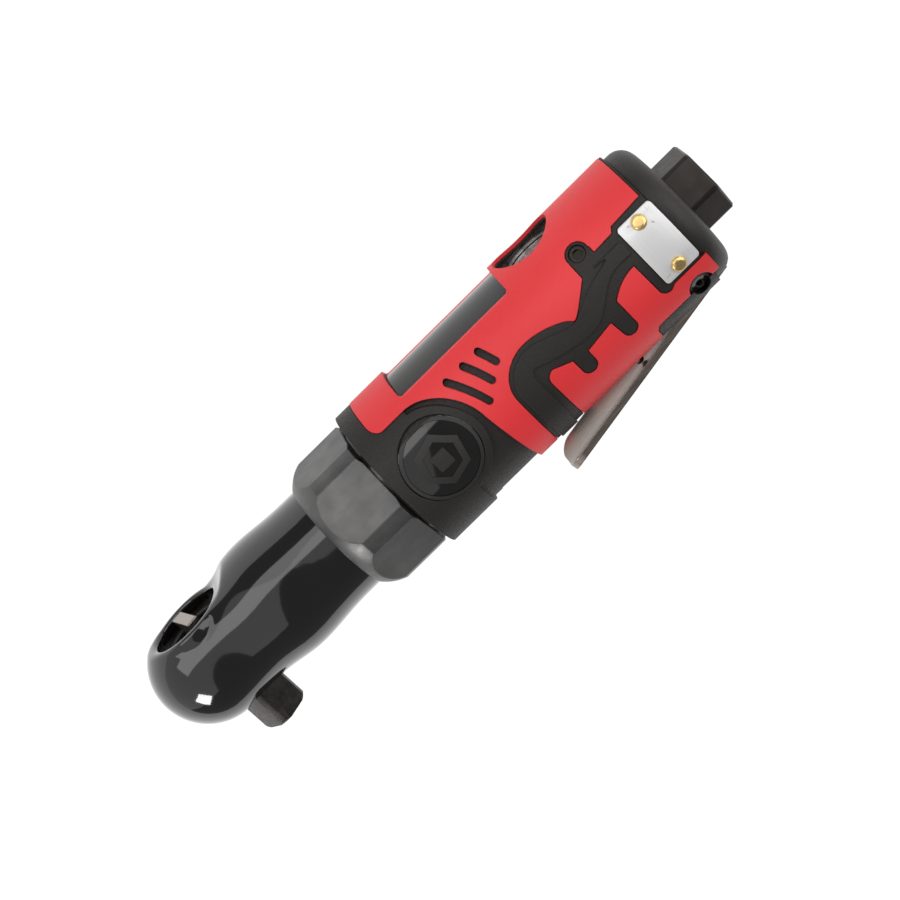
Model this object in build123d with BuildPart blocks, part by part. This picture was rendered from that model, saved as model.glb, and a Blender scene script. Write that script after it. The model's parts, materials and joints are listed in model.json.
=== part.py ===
"""Air ratchet, 3/8 inch square drive, as separate pieces.

Frame: the X axis is the tool's own axis and runs from the ratchet head to the air inlet.
The square drive points along -Y and the side with the name plate faces +Z.
The origin is where the drive's axis crosses the tool's axis. All sizes are millimetres.
"""
import os
from math import atan, cos, pi, radians, sin, sqrt, tan

from build123d import *

# ---------------------------------------------------------------- driving dimensions
# ratchet head and neck
HEAD_R = 14.2            # radius of the round nose
NOSE_X = -18.0           # front end of the tool
HEAD_TOP = 11.6          # height of the flat rim round the selector opening
OPENING_R = 9.35         # selector opening, which is also the yoke's bore
COLLAR_R = 11.3          # outside of the rim at the selector opening
RIM_ROUND = 1.2          # rounding of that rim
BULGE_R = 15.2           # thickest place of the neck, where the yoke's fork works
BULGE_X = 17.9
NECK_R = 14.3            # neck where it enters the clamp nut
HEAD_BOTTOM = -14.2      # lower face of the head

# square drive
DRIVE_SIZE = 9.5         # across the flats of the square
DRIVE_TIP = -21.8        # end of the square
DRIVE_CORNER = 1.0       # chamfer along the square's corners
DRIVE_TURN = 37.0        # the square's turn about Y at rest, degrees
JOURNAL_END = -12.2      # lower end of the round bearing surface, inside the head
JOURNAL_R = 6.9          # round bearing surface of the drive, passed through the yoke

# clamp nut
NUT_FRONT = 38.4
NUT_REAR = 56.0
NUT_FLATS = 32.9         # across flats
NUT_R = 18.0             # radius over the turned corners
NUT_TURN = 24.8          # direction of one flat, degrees from +Z towards +Y

# motor housing and its covers
HOUSING_FRONT = 57.0
HOUSING_REAR = 141.2
HOUSING_R = 18.1         # outside of the bare housing
MOTOR_BORE_R = 14.0      # bore that the whole air motor slides into
THREAD_R = 15.7          # front spigot that the clamp nut screws on
FLAT_Y = -(HOUSING_R - 1.9)        # milled flat under the lever
UNDER_WALL = 0.6         # thin layer of the grip that runs under the red covers
COVER_WALL = 0.85        # red covers
GRIP_WALL = 1.4          # black grip where no cover lies on it
BAND_RISE = 0.45         # raised middle of the wavy band above the grip
GRIP_R = HOUSING_R + GRIP_WALL
GRIP_UNDER_R = HOUSING_R + UNDER_WALL
COVER_IN_R = GRIP_UNDER_R + 0.1
COVER_R = COVER_IN_R + COVER_WALL
BAND_R = GRIP_R + BAND_RISE
COVER_IN_FLAT_Y = FLAT_Y - UNDER_WALL - 0.05
COVER_FLAT_Y = COVER_IN_FLAT_Y - 0.55      # the covers' flat under the lever

# throttle and lever
VALVE_X = HOUSING_REAR - 25.5          # axis of throttle valve
PIN_X = HOUSING_REAR - 4.0         # lever hinge
PIN_Y = -(HOUSING_R - 4.6)
PIN_R = 1.3
LEVER_TIP_X = PIN_X - 49.8
LEVER_ANGLE = 10.0       # how far the lever stands off the tool axis at rest, degrees
LEVER_WIDTH = 15.0
LEVER_WALL = 1.6
LEVER_INNER = 2.7        # the strip's inner edges stand this far off the hinge
ARCH_R = 18.4            # inner radius of the arched strip
SLOT_HALF = 7.9          # half the width of the lever's slot in the housing

# regulator
DIAL_X = HOUSING_REAR - 26.2
DIAL_R = 7.7
DIAL_HOLE_R = DIAL_R + 0.5

# inlet
CAP_REAR = HOUSING_REAR + 5.8
CAP_R = HOUSING_R + 0.4
INLET_END = CAP_REAR + 8.2
INLET_FLATS = 17.0
INLET_R = INLET_FLATS / 2 + 1.0    # radius over the turned corners of the hexagon
INLET_THREAD_R = 5.6     # 1/4 inch pipe thread
INLET_THREAD_LENGTH = 12.0

# planetary gears
MODULE = 0.5
SUN_TEETH = 12
PLANET_TEETH = 18
RING_TEETH = SUN_TEETH + 2 * PLANET_TEETH
PLANET_COUNT = 3
PRESSURE = radians(20)
BACKLASH = 0.10          # taken off each tooth's thickness
PLANET_ORBIT = MODULE * (SUN_TEETH + PLANET_TEETH) / 2
PLANET_PIN_R = 1.5

# ratchet mechanism
CRANK_THROW = 1.2
CRANK_PIN_R = 1.5
CRANK_SHAFT_R = 4.5
YOKE_R = 9.1
YOKE_HALF = 4.5          # half the yoke's height
YOKE_TEETH = 36
YOKE_TIP_R = 7.3
YOKE_ROOT_R = 7.9
PAWL_PIVOT_R = 5.0

# air motor
ROTOR_R = 9.8
CHAMBER_SHIFT = 1.1      # the chamber's offset that makes the motor turn
CHAMBER_R = ROTOR_R + CHAMBER_SHIFT + 0.1
VANE_COUNT = 5
VANE_THICK = 1.6
ROTOR_LENGTH = 25.0

# clearances
RUN = 0.05               # running fit, radial
SLIP = 0.05              # pieces that are only put together
GAP = 0.15               # seam between neighbouring covers
FREE = 0.3               # between pieces that move past each other

# ---------------------------------------------------------------- stations along X
SHOULDER_X = NUT_FRONT + 3.6             # the nut's shoulder and the head's flange meet here
FLANGE_REAR = SHOULDER_X + 4.0
SPIGOT_FRONT = FLANGE_REAR + SLIP
RING_FRONT = SPIGOT_FRONT + 4.5
RING_REAR = RING_FRONT + 10.0
PLATE_LENGTH = 6.2                       # each end plate
BEARING_LENGTH = 5.0
LIP = 0.8                                # end plate's face between bearing and rotor
FRONT_PLATE_X = RING_REAR + SLIP
CYLINDER_FRONT = FRONT_PLATE_X + PLATE_LENGTH + SLIP
CYLINDER_REAR = CYLINDER_FRONT + ROTOR_LENGTH + 2 * GAP
REAR_PLATE_X = CYLINDER_REAR + SLIP
MOTOR_REAR = REAR_PLATE_X + PLATE_LENGTH + SLIP
PLENUM_REAR = MOTOR_REAR + 2.0
CARRIER_FRONT = RING_FRONT - 3.0
CARRIER_REAR = RING_FRONT + 2.0
GEAR_REAR = RING_REAR - 0.4
PLANET_FRONT = CARRIER_REAR + GAP


# ---------------------------------------------------------------- planes and plain helpers
def across_x(x):
    """Plane across the tool axis: local x is +Y, local y is +Z, normal +X."""
    return Plane.YZ.offset(x)


def across_y(y):
    """Plane across the drive axis: local x is +X, local y is -Z, normal +Y."""
    return Plane(origin=(0, y, 0), x_dir=(1, 0, 0), z_dir=(0, 1, 0))


def radial_plane(x, angle, radius):
    """Plane tangent to a cylinder about the tool axis, at an angle from +Z towards +Y."""
    out = (0, sin(radians(angle)), cos(radians(angle)))
    return Plane(origin=(x, radius * out[1], radius * out[2]), x_dir=(1, 0, 0), z_dir=out)


def tube(x0, x1, r_out, r_in=0.0):
    """Ring or rod along the tool axis."""
    with BuildPart() as p:
        with BuildSketch(across_x(x0)):
            Circle(r_out)
            if r_in > 0:
                Circle(r_in, mode=Mode.SUBTRACT)
        extrude(amount=x1 - x0)
    return p.part


def disc_y(y0, y1, r_out, r_in=0.0, x=0.0):
    """Ring or rod along Y."""
    with BuildPart() as p:
        with BuildSketch(across_y(y0)):
            with Locations((x, 0)):
                Circle(r_out)
                if r_in > 0:
                    Circle(r_in, mode=Mode.SUBTRACT)
        extrude(amount=y1 - y0)
    return p.part


def save(part, name):
    """Label a finished piece and write its STEP file."""
    part.label = name
    export_step(part, f"parts/{name}.step")


os.makedirs("parts", exist_ok=True)


# ================================================================ RATCHET HEAD
FORK_HALF_Z = 9.4        # room for the yoke's fork inside the neck
FORK_HALF_Y = 4.8
FORK_END = 24.6
BEARING_R = 6.5          # crankshaft bearings
WASHER_T = 0.8
WEB_X = 22.2             # crank web, just behind the fork
YOKE_FLOOR = -(YOKE_HALF + WASHER_T + GAP)
FLANGE_Y = YOKE_HALF + GAP + WASHER_T + GAP
FLANGE_T = 1.2
RING_GROOVE_Y = FLANGE_Y + FLANGE_T + GAP
RING_GROOVE_T = 1.0

with BuildPart() as ratchet_head:
    with BuildSketch(Plane.XY):
        with BuildLine():
            nose_centre = NOSE_X + HEAD_R
            ThreePointArc((NOSE_X, 0), (nose_centre - HEAD_R * sin(pi / 4), HEAD_R * sin(pi / 4)),
                          (nose_centre, HEAD_R))
            Spline((nose_centre, HEAD_R), (8.5, HEAD_R - 0.3), (BULGE_X, BULGE_R),
                   (BULGE_X + 10, NECK_R + 0.35), (NUT_FRONT + 1, NECK_R),
                   tangents=((1, 0), (1, 0)))
            Line((NUT_FRONT + 1, NECK_R), (SHOULDER_X + SLIP, NECK_R))
            Line((SHOULDER_X + SLIP, NECK_R), (SHOULDER_X + SLIP, THREAD_R - 0.4))
            Line((SHOULDER_X + SLIP, THREAD_R - 0.4), (FLANGE_REAR, THREAD_R - 0.4))
            Line((FLANGE_REAR, THREAD_R - 0.4), (FLANGE_REAR, MOTOR_BORE_R - SLIP))
            Line((FLANGE_REAR, MOTOR_BORE_R - SLIP), (RING_FRONT - SLIP, MOTOR_BORE_R - SLIP))
            Line((RING_FRONT - SLIP, MOTOR_BORE_R - SLIP), (RING_FRONT - SLIP, 0))
            Line((RING_FRONT - SLIP, 0), (NOSE_X, 0))
        make_face()
    revolve(axis=Axis.X)
    # flat top round the opening, swept up to the neck in one curve
    with BuildSketch(Plane.XY) as saddle:
        with BuildLine():
            Line((NOSE_X - 2, HEAD_TOP), (6.5, HEAD_TOP))
            Spline((6.5, HEAD_TOP), (11.5, HEAD_TOP + 1.0), (BULGE_X - 1, BULGE_R + 0.3),
                   tangents=((1, 0), (1, 0.25)))
            Line((BULGE_X - 1, BULGE_R + 0.3), (BULGE_X - 1, BULGE_R + 5))
            Line((BULGE_X - 1, BULGE_R + 5), (NOSE_X - 2, BULGE_R + 5))
            Line((NOSE_X - 2, BULGE_R + 5), (NOSE_X - 2, HEAD_TOP))
        make_face()
    extrude(amount=2 * HEAD_R, both=True, mode=Mode.SUBTRACT)
    # rim that carries the opening all the way round
    with BuildSketch(across_y(0)):
        Circle(COLLAR_R)
    extrude(amount=HEAD_TOP)
    rim = ratchet_head.edges().filter_by(GeomType.CIRCLE).filter_by(
        lambda e: abs(e.radius - COLLAR_R) < 0.01 and abs(e.center().Y - HEAD_TOP) < 0.01)
    fillet(rim, radius=RIM_ROUND)
    # bore for yoke and selector, bearing for the drive, groove for the snap ring
    with BuildSketch(across_y(YOKE_FLOOR)):
        Circle(OPENING_R)
    extrude(amount=HEAD_TOP - YOKE_FLOOR + 2, mode=Mode.SUBTRACT)
    with BuildSketch(across_y(HEAD_BOTTOM - 2)):
        Circle(JOURNAL_R + RUN)
    extrude(amount=YOKE_FLOOR - HEAD_BOTTOM + 3, mode=Mode.SUBTRACT)
    with BuildSketch(across_y(HEAD_BOTTOM - 3)):
        Rectangle(4 * HEAD_R, 4 * HEAD_R)
    extrude(amount=3, mode=Mode.SUBTRACT)
    with BuildSketch(across_y(RING_GROOVE_Y)):
        Circle(OPENING_R + 0.8)
    extrude(amount=RING_GROOVE_T, mode=Mode.SUBTRACT)
    # room for the fork, then the stepped bore of the crankshaft
    with BuildSketch(across_x(2)):
        Rectangle(2 * FORK_HALF_Y, 2 * FORK_HALF_Z)
    extrude(amount=FORK_END - 2, mode=Mode.SUBTRACT)
    with BuildSketch(across_x(WEB_X - 0.5)):
        Circle(BEARING_R)
    extrude(amount=RING_FRONT, mode=Mode.SUBTRACT)
    with BuildSketch(across_x(CARRIER_FRONT - FREE)):
        Circle(11.2)
    extrude(amount=RING_FRONT, mode=Mode.SUBTRACT)
    mouth = ratchet_head.edges().filter_by(GeomType.CIRCLE).filter_by(
        lambda e: abs(e.radius - OPENING_R) < 0.01 and abs(e.center().Y - HEAD_TOP) < 0.01)
    fillet(mouth, radius=0.5)
save(ratchet_head.part, "ratchet_head")

# thrust washers under and over the yoke
save(disc_y(YOKE_FLOOR + SLIP, YOKE_FLOOR + SLIP + WASHER_T - SLIP, OPENING_R - 0.1,
            JOURNAL_R + 0.1), "thrust_washer")
save(disc_y(YOKE_HALF + GAP, YOKE_HALF + GAP + WASHER_T, OPENING_R - 0.1, JOURNAL_R + 0.15),
     "anvil_washer")

# snap ring with a gap and two plier ears
SNAP_IN_R = 7.7
with BuildPart() as snap_ring:
    with BuildSketch(across_y(RING_GROOVE_Y + SLIP)):
        Circle(OPENING_R + 0.7)
        Circle(SNAP_IN_R, mode=Mode.SUBTRACT)
        with Locations((SNAP_IN_R + 1, 0)):
            Rectangle(6, 3.0, mode=Mode.SUBTRACT)
        with Locations((SNAP_IN_R - 0.1, 2.6), (SNAP_IN_R - 0.1, -2.6)):
            Circle(1.1)
        with Locations((SNAP_IN_R - 0.1, 2.6), (SNAP_IN_R - 0.1, -2.6)):
            Circle(0.5, mode=Mode.SUBTRACT)
    extrude(amount=RING_GROOVE_T - 2 * SLIP)
save(snap_ring.part, "snap_ring")

# crankshaft bearings: bronze bush at the front, needle bearing at the back
BUSH_FRONT = FORK_END + 0.5
BUSH_REAR = BUSH_FRONT + 7
NEEDLE_REAR = CARRIER_FRONT - 1.2
NEEDLE_FRONT = NEEDLE_REAR - 10
NEEDLE_R = 0.75
NEEDLE_COUNT = 14
save(tube(BUSH_FRONT, BUSH_REAR, BEARING_R - 0.02, CRANK_SHAFT_R + RUN), "crank_bushing")

with BuildPart() as needle_shell:
    with BuildSketch(across_x(NEEDLE_FRONT)):
        Circle(BEARING_R - 0.02)
        Circle(CRANK_SHAFT_R + 2 * NEEDLE_R + 2 * RUN, mode=Mode.SUBTRACT)
    extrude(amount=NEEDLE_REAR - NEEDLE_FRONT)
    for lip_x in (NEEDLE_FRONT, NEEDLE_REAR - 0.5):
        with BuildSketch(across_x(lip_x)):
            Circle(BEARING_R - 0.02)
            Circle(CRANK_SHAFT_R + 0.4, mode=Mode.SUBTRACT)
        extrude(amount=0.5)
save(needle_shell.part, "needle_shell")

with BuildPart() as needle_rollers:
    with BuildSketch(across_x(NEEDLE_FRONT + 0.7)):
        with PolarLocations(CRANK_SHAFT_R + NEEDLE_R + RUN, NEEDLE_COUNT):
            Circle(NEEDLE_R)
    extrude(amount=NEEDLE_REAR - NEEDLE_FRONT - 1.4)
save(needle_rollers.part, "needle_rollers")

# ================================================================ YOKE AND CRANKSHAFT
PIN_REACH = 21.0         # rear end of the fork
FORK_IN = 5.1            # the fork's inner faces clear the drive bushing's whole orbit
FORK_OUT = 7.7

with BuildPart() as yoke:
    with BuildSketch(across_y(-YOKE_HALF + GAP)):
        Circle(YOKE_R)
    extrude(amount=2 * (YOKE_HALF - GAP))
    with BuildSketch(across_x(3)):
        with Locations((0, (FORK_IN + FORK_OUT) / 2), (0, -(FORK_IN + FORK_OUT) / 2)):
            Rectangle(2 * 3.7, FORK_OUT - FORK_IN)
    extrude(amount=PIN_REACH - 3)
    ends = yoke.edges().filter_by(Axis.Y).group_by(Axis.X)[-1]
    fillet(ends, radius=1.0)
    with BuildSketch(across_y(-YOKE_HALF - 1)):
        Circle(YOKE_TIP_R)
    extrude(amount=2 * YOKE_HALF + 2, mode=Mode.SUBTRACT)
    # ratchet teeth cut into the bore
    with BuildSketch(across_y(-YOKE_HALF - 1)):
        tooth_half = 0.42 * pi * YOKE_TIP_R * 2 / YOKE_TEETH / 2
        with PolarLocations(0, YOKE_TEETH):
            Polygon((YOKE_TIP_R - 0.2, -tooth_half - 0.1), (YOKE_ROOT_R, 0),
                    (YOKE_TIP_R - 0.2, tooth_half + 0.1), align=None)
    extrude(amount=2 * YOKE_HALF + 2, mode=Mode.SUBTRACT)
save(yoke.part, "yoke")

with BuildPart() as crankshaft:
    with BuildSketch(across_x(WEB_X)):
        Circle(5.6)
    extrude(amount=FORK_END - WEB_X - 0.3)
    with BuildSketch(across_x(WEB_X)):
        Circle(CRANK_SHAFT_R)
    extrude(amount=CARRIER_FRONT - WEB_X)
    with BuildSketch(across_x(CARRIER_FRONT)):
        Circle(10.6)
        with PolarLocations(PLANET_ORBIT, PLANET_COUNT):
            Circle(PLANET_PIN_R, mode=Mode.SUBTRACT)
    extrude(amount=CARRIER_REAR - CARRIER_FRONT)
    with BuildSketch(across_x(15.0)):
        with Locations((0, CRANK_THROW)):
            Circle(CRANK_PIN_R)
    extrude(amount=WEB_X - 15.0)
save(crankshaft.part, "crankshaft")

with BuildPart() as drive_bushing:
    with BuildSketch(Plane.XZ):
        with BuildLine():
            Polyline((15.2, CRANK_THROW + CRANK_PIN_R + RUN), (15.2, CRANK_THROW + 2.2),
                     (16.2, CRANK_THROW + 2.45), (20.4, CRANK_THROW + 2.45),
                     (21.4, CRANK_THROW + 2.2), (21.4, CRANK_THROW + CRANK_PIN_R + RUN), close=True)
        make_face()
    revolve(axis=Axis((0, 0, CRANK_THROW), (1, 0, 0)))
save(drive_bushing.part, "drive_bushing")

with BuildPart() as planet_pins:
    with BuildSketch(across_x(CARRIER_FRONT + 0.5)):
        with PolarLocations(PLANET_ORBIT, PLANET_COUNT):
            Circle(PLANET_PIN_R)
    extrude(amount=GEAR_REAR - CARRIER_FRONT - 0.5)
save(planet_pins.part, "planet_pins")


# ================================================================ GEARS
def involute_tooth(teeth, root_r, tip_r, thinner):
    """One gear tooth on +x of the sketch plane, from inside the root circle to the tip."""
    pitch_r = MODULE * teeth / 2
    base_r = pitch_r * cos(PRESSURE)

    def half_angle(r):
        t = sqrt(max((r / base_r) ** 2 - 1, 0))
        t_pitch = tan(PRESSURE)
        half = pi / (2 * teeth) - thinner / (2 * pitch_r)
        return half + (t_pitch - atan(t_pitch)) - (t - atan(t))

    start = max(root_r, base_r)
    radii = [root_r * 0.97] + [start + (tip_r - start) * k / 3 for k in range(4)]
    upper = [(r * cos(half_angle(r)), r * sin(half_angle(r))) for r in radii]
    lower = [(x, -y) for x, y in reversed(upper)]
    with BuildSketch() as tooth:
        with BuildLine():
            Polyline(*upper, *lower, close=True)
        make_face()
    return tooth.sketch


def gear_outline(teeth, root_r, tip_r, thinner, turn=0.0):
    """Gear face about the sketch origin, turned by an angle in degrees."""
    tooth = involute_tooth(teeth, root_r, tip_r, thinner)
    with BuildSketch() as outline:
        Circle(root_r)
        with PolarLocations(0, teeth, start_angle=turn):
            add(tooth)
    return outline.sketch


sun_r = MODULE * SUN_TEETH / 2
planet_r = MODULE * PLANET_TEETH / 2
ring_r = MODULE * RING_TEETH / 2
ADDENDUM = 0.85 * MODULE
DEDENDUM = 1.3 * MODULE
planet_face = gear_outline(PLANET_TEETH, planet_r - DEDENDUM, planet_r + ADDENDUM, BACKLASH,
                           turn=180 / PLANET_TEETH)
for index in range(PLANET_COUNT):
    angle = radians(index * 360 / PLANET_COUNT)
    with BuildPart() as planet:
        with BuildSketch(Plane(origin=(PLANET_FRONT, PLANET_ORBIT * cos(angle), PLANET_ORBIT * sin(angle)),
                               x_dir=(0, cos(angle), sin(angle)), z_dir=(1, 0, 0))):
            add(planet_face)
            Circle(PLANET_PIN_R + RUN, mode=Mode.SUBTRACT)
        extrude(amount=GEAR_REAR - PLANET_FRONT)
    save(planet.part, f"planet_gear_{index + 1}")

ring_cut = gear_outline(RING_TEETH, ring_r - ADDENDUM, ring_r + DEDENDUM, -BACKLASH,
                        turn=180 / RING_TEETH)
with BuildPart() as ring_gear:
    with BuildSketch(across_x(RING_FRONT)):
        Circle(MOTOR_BORE_R - SLIP)
        add(ring_cut, mode=Mode.SUBTRACT)
    extrude(amount=RING_REAR - RING_FRONT)
save(ring_gear.part, "ring_gear")

# ================================================================ AIR MOTOR
FRONT_SHAFT_R = 5.0
REAR_SHAFT_R = 4.0
FRONT_BEARING_R = 9.5
REAR_BEARING_R = 8.0
FRONT_BEARING_X = FRONT_PLATE_X + 0.2
REAR_BEARING_X = REAR_PLATE_X + LIP + 0.2
ROTOR_FRONT = CYLINDER_FRONT + GAP
DOWEL_R = 0.9
DOWEL_Y = -11.9

with BuildPart() as rotor:
    with BuildSketch(across_x(ROTOR_FRONT)):
        Circle(ROTOR_R)
        with PolarLocations(ROTOR_R - 2.9, VANE_COUNT):
            Rectangle(6.2, VANE_THICK + 2 * RUN, mode=Mode.SUBTRACT)
    extrude(amount=ROTOR_LENGTH)
    with BuildSketch(across_x(FRONT_BEARING_X)):
        Circle(FRONT_SHAFT_R)
    extrude(amount=ROTOR_FRONT - FRONT_BEARING_X)
    with BuildSketch(across_x(ROTOR_FRONT + ROTOR_LENGTH)):
        Circle(REAR_SHAFT_R)
    extrude(amount=REAR_BEARING_X + BEARING_LENGTH - ROTOR_FRONT - ROTOR_LENGTH)
    sun_face = gear_outline(SUN_TEETH, sun_r - DEDENDUM, sun_r + ADDENDUM, BACKLASH)
    with BuildSketch(across_x(PLANET_FRONT)):
        add(sun_face)
    extrude(amount=FRONT_BEARING_X - PLANET_FRONT)
save(rotor.part, "rotor")

with BuildPart() as vanes:
    with BuildSketch(across_x(ROTOR_FRONT + 0.1)):
        with PolarLocations(ROTOR_R - 2.85, VANE_COUNT):
            Rectangle(5.6, VANE_THICK)
    extrude(amount=ROTOR_LENGTH - 0.2)
save(vanes.part, "vanes")

with BuildPart() as motor_cylinder:
    with BuildSketch(across_x(CYLINDER_FRONT)):
        Circle(MOTOR_BORE_R - SLIP)
        with Locations((CHAMBER_SHIFT, 0)):
            Circle(CHAMBER_R, mode=Mode.SUBTRACT)
        with Locations((DOWEL_Y, 0)):
            Circle(DOWEL_R, mode=Mode.SUBTRACT)
    extrude(amount=CYLINDER_REAR - CYLINDER_FRONT)
    # exhaust ports through the wall, on the side where the vanes have opened
    for port_x in (-6, -2, 2, 6):
        middle = (CYLINDER_FRONT + CYLINDER_REAR) / 2 + port_x
        with BuildSketch(across_y(0)):
            with Locations((middle, 0)):
                Circle(1.2)
        extrude(amount=MOTOR_BORE_R + 1, mode=Mode.SUBTRACT)
save(motor_cylinder.part, "motor_cylinder")

with BuildPart() as front_end_plate:
    with BuildSketch(across_x(FRONT_PLATE_X)):
        Circle(MOTOR_BORE_R - SLIP)
        Circle(FRONT_BEARING_R, mode=Mode.SUBTRACT)
    extrude(amount=PLATE_LENGTH)
    with BuildSketch(across_x(FRONT_PLATE_X + PLATE_LENGTH - LIP)):
        Circle(FRONT_BEARING_R + 0.2)
        Circle(FRONT_SHAFT_R + 0.4, mode=Mode.SUBTRACT)
    extrude(amount=LIP)
    with BuildSketch(across_x(FRONT_PLATE_X + 2)):
        with Locations((DOWEL_Y, 0)):
            Circle(DOWEL_R)
    extrude(amount=PLATE_LENGTH, mode=Mode.SUBTRACT)
save(front_end_plate.part, "front_end_plate")

with BuildPart() as rear_end_plate:
    with BuildSketch(across_x(REAR_PLATE_X)):
        Circle(MOTOR_BORE_R - SLIP)
        Circle(REAR_BEARING_R, mode=Mode.SUBTRACT)
    extrude(amount=PLATE_LENGTH)
    with BuildSketch(across_x(REAR_PLATE_X)):
        Circle(REAR_BEARING_R + 0.2)
        Circle(REAR_SHAFT_R + 0.4, mode=Mode.SUBTRACT)
    extrude(amount=LIP)
    with BuildSketch(across_x(REAR_PLATE_X - 1)):
        with Locations((DOWEL_Y, 0)):
            Circle(DOWEL_R)
        with PolarLocations(10.9, 3, start_angle=-40, angular_range=80):
            Circle(1.3)
    extrude(amount=PLATE_LENGTH + 2, mode=Mode.SUBTRACT)
save(rear_end_plate.part, "rear_end_plate")

with BuildPart() as dowel_pin:
    with BuildSketch(across_x(FRONT_PLATE_X + 2.1)):
        with Locations((DOWEL_Y, 0)):
            Circle(DOWEL_R - 0.02)
    extrude(amount=REAR_PLATE_X + PLATE_LENGTH - FRONT_PLATE_X - 2.6)
save(dowel_pin.part, "dowel_pin")


def ball_bearing(name, x, r_in, r_out, ball_r, count):
    """Outer race, inner race and balls of one bearing, as three pieces."""
    mid_r = (r_in + r_out) / 2
    mid_x = x + BEARING_LENGTH / 2
    for race, lower, upper in (("outer", mid_r + 0.55 * ball_r, r_out - 0.02),
                               ("inner", r_in, mid_r - 0.55 * ball_r)):
        with BuildPart() as ring:
            with BuildSketch(Plane.XY):
                with Locations((mid_x, (lower + upper) / 2)):
                    Rectangle(BEARING_LENGTH - 0.2, upper - lower)
                with Locations((mid_x, mid_r)):
                    Circle(ball_r + 0.04, mode=Mode.SUBTRACT)
            revolve(axis=Axis.X)
        save(ring.part, f"{name}_{race}")
    with BuildPart() as balls:
        for k in range(count):
            turn = 2 * pi * k / count
            with Locations((mid_x, mid_r * cos(turn), mid_r * sin(turn))):
                Sphere(ball_r)
    save(balls.part, f"{name}_balls")


ball_bearing("front_bearing", FRONT_BEARING_X, FRONT_SHAFT_R, FRONT_BEARING_R, 1.25, 11)
ball_bearing("rear_bearing", REAR_BEARING_X, REAR_SHAFT_R, REAR_BEARING_R, 1.15, 9)

# ================================================================ CLAMP NUT
NUT_SHOULDER_R = NECK_R + 0.2
with BuildPart() as clamp_nut:
    with BuildSketch(Plane.XY):
        with BuildLine():
            ThreePointArc((NUT_FRONT, NECK_R + 0.4), (NUT_FRONT + 2.0, NUT_R - 1.5), (NUT_FRONT + 5.0, NUT_R))
            Polyline((NUT_FRONT + 5.0, NUT_R), (NUT_REAR - 0.6, NUT_R), (NUT_REAR, NUT_R - 0.8),
                     (NUT_REAR, THREAD_R + SLIP), (SHOULDER_X, THREAD_R + SLIP),
                     (SHOULDER_X, NUT_SHOULDER_R), (NUT_FRONT, NUT_SHOULDER_R), (NUT_FRONT, NECK_R + 0.4))
        make_face()
    revolve(axis=Axis.X)
    with BuildSketch(across_x(NUT_FRONT - 1)):
        RegularPolygon(NUT_FLATS / 2, 6, major_radius=False, rotation=90 - NUT_TURN + 30)
    extrude(amount=NUT_REAR - NUT_FRONT + 2, mode=Mode.INTERSECT)
save(clamp_nut.part, "clamp_nut")

# ================================================================ MOTOR HOUSING
VALVE_BORE_R = 4.0
VALVE_TOP = 8.0
DIAL_POCKET_R = DIAL_R + FREE
RING_R = DIAL_POCKET_R + 0.4           # snap ring that holds the dial, all of it inside the housing
DIAL_FLOOR = sqrt(HOUSING_R ** 2 - RING_R ** 2) - 3.2
STEM_R = 2.6
GALLERY_Y = -9.0         # gallery from under the valve seat to the motor
GALLERY_R = 2.2
INLET_BORE_R = 7.9
INLET_BORE_X = HOUSING_REAR - 13.2
SLOT_FRONT = HOUSING_REAR - 15.7
SLOT_TOP = PIN_Y + 3.8
EXHAUST_R = 2.0
EXHAUST_ORBIT = MOTOR_BORE_R - 0.4
EXHAUST_ANGLES = (22, -14, 158, 194)     # from +Z towards +Y
SCREW_X = HOUSING_REAR - 19.0
SCREW_ANGLE = 39.5
SCREW_ANGLES = (SCREW_ANGLE, 180 - SCREW_ANGLE)
SCREW_R = 1.5
SCREW_FLOOR = HOUSING_R - 4.0

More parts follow.
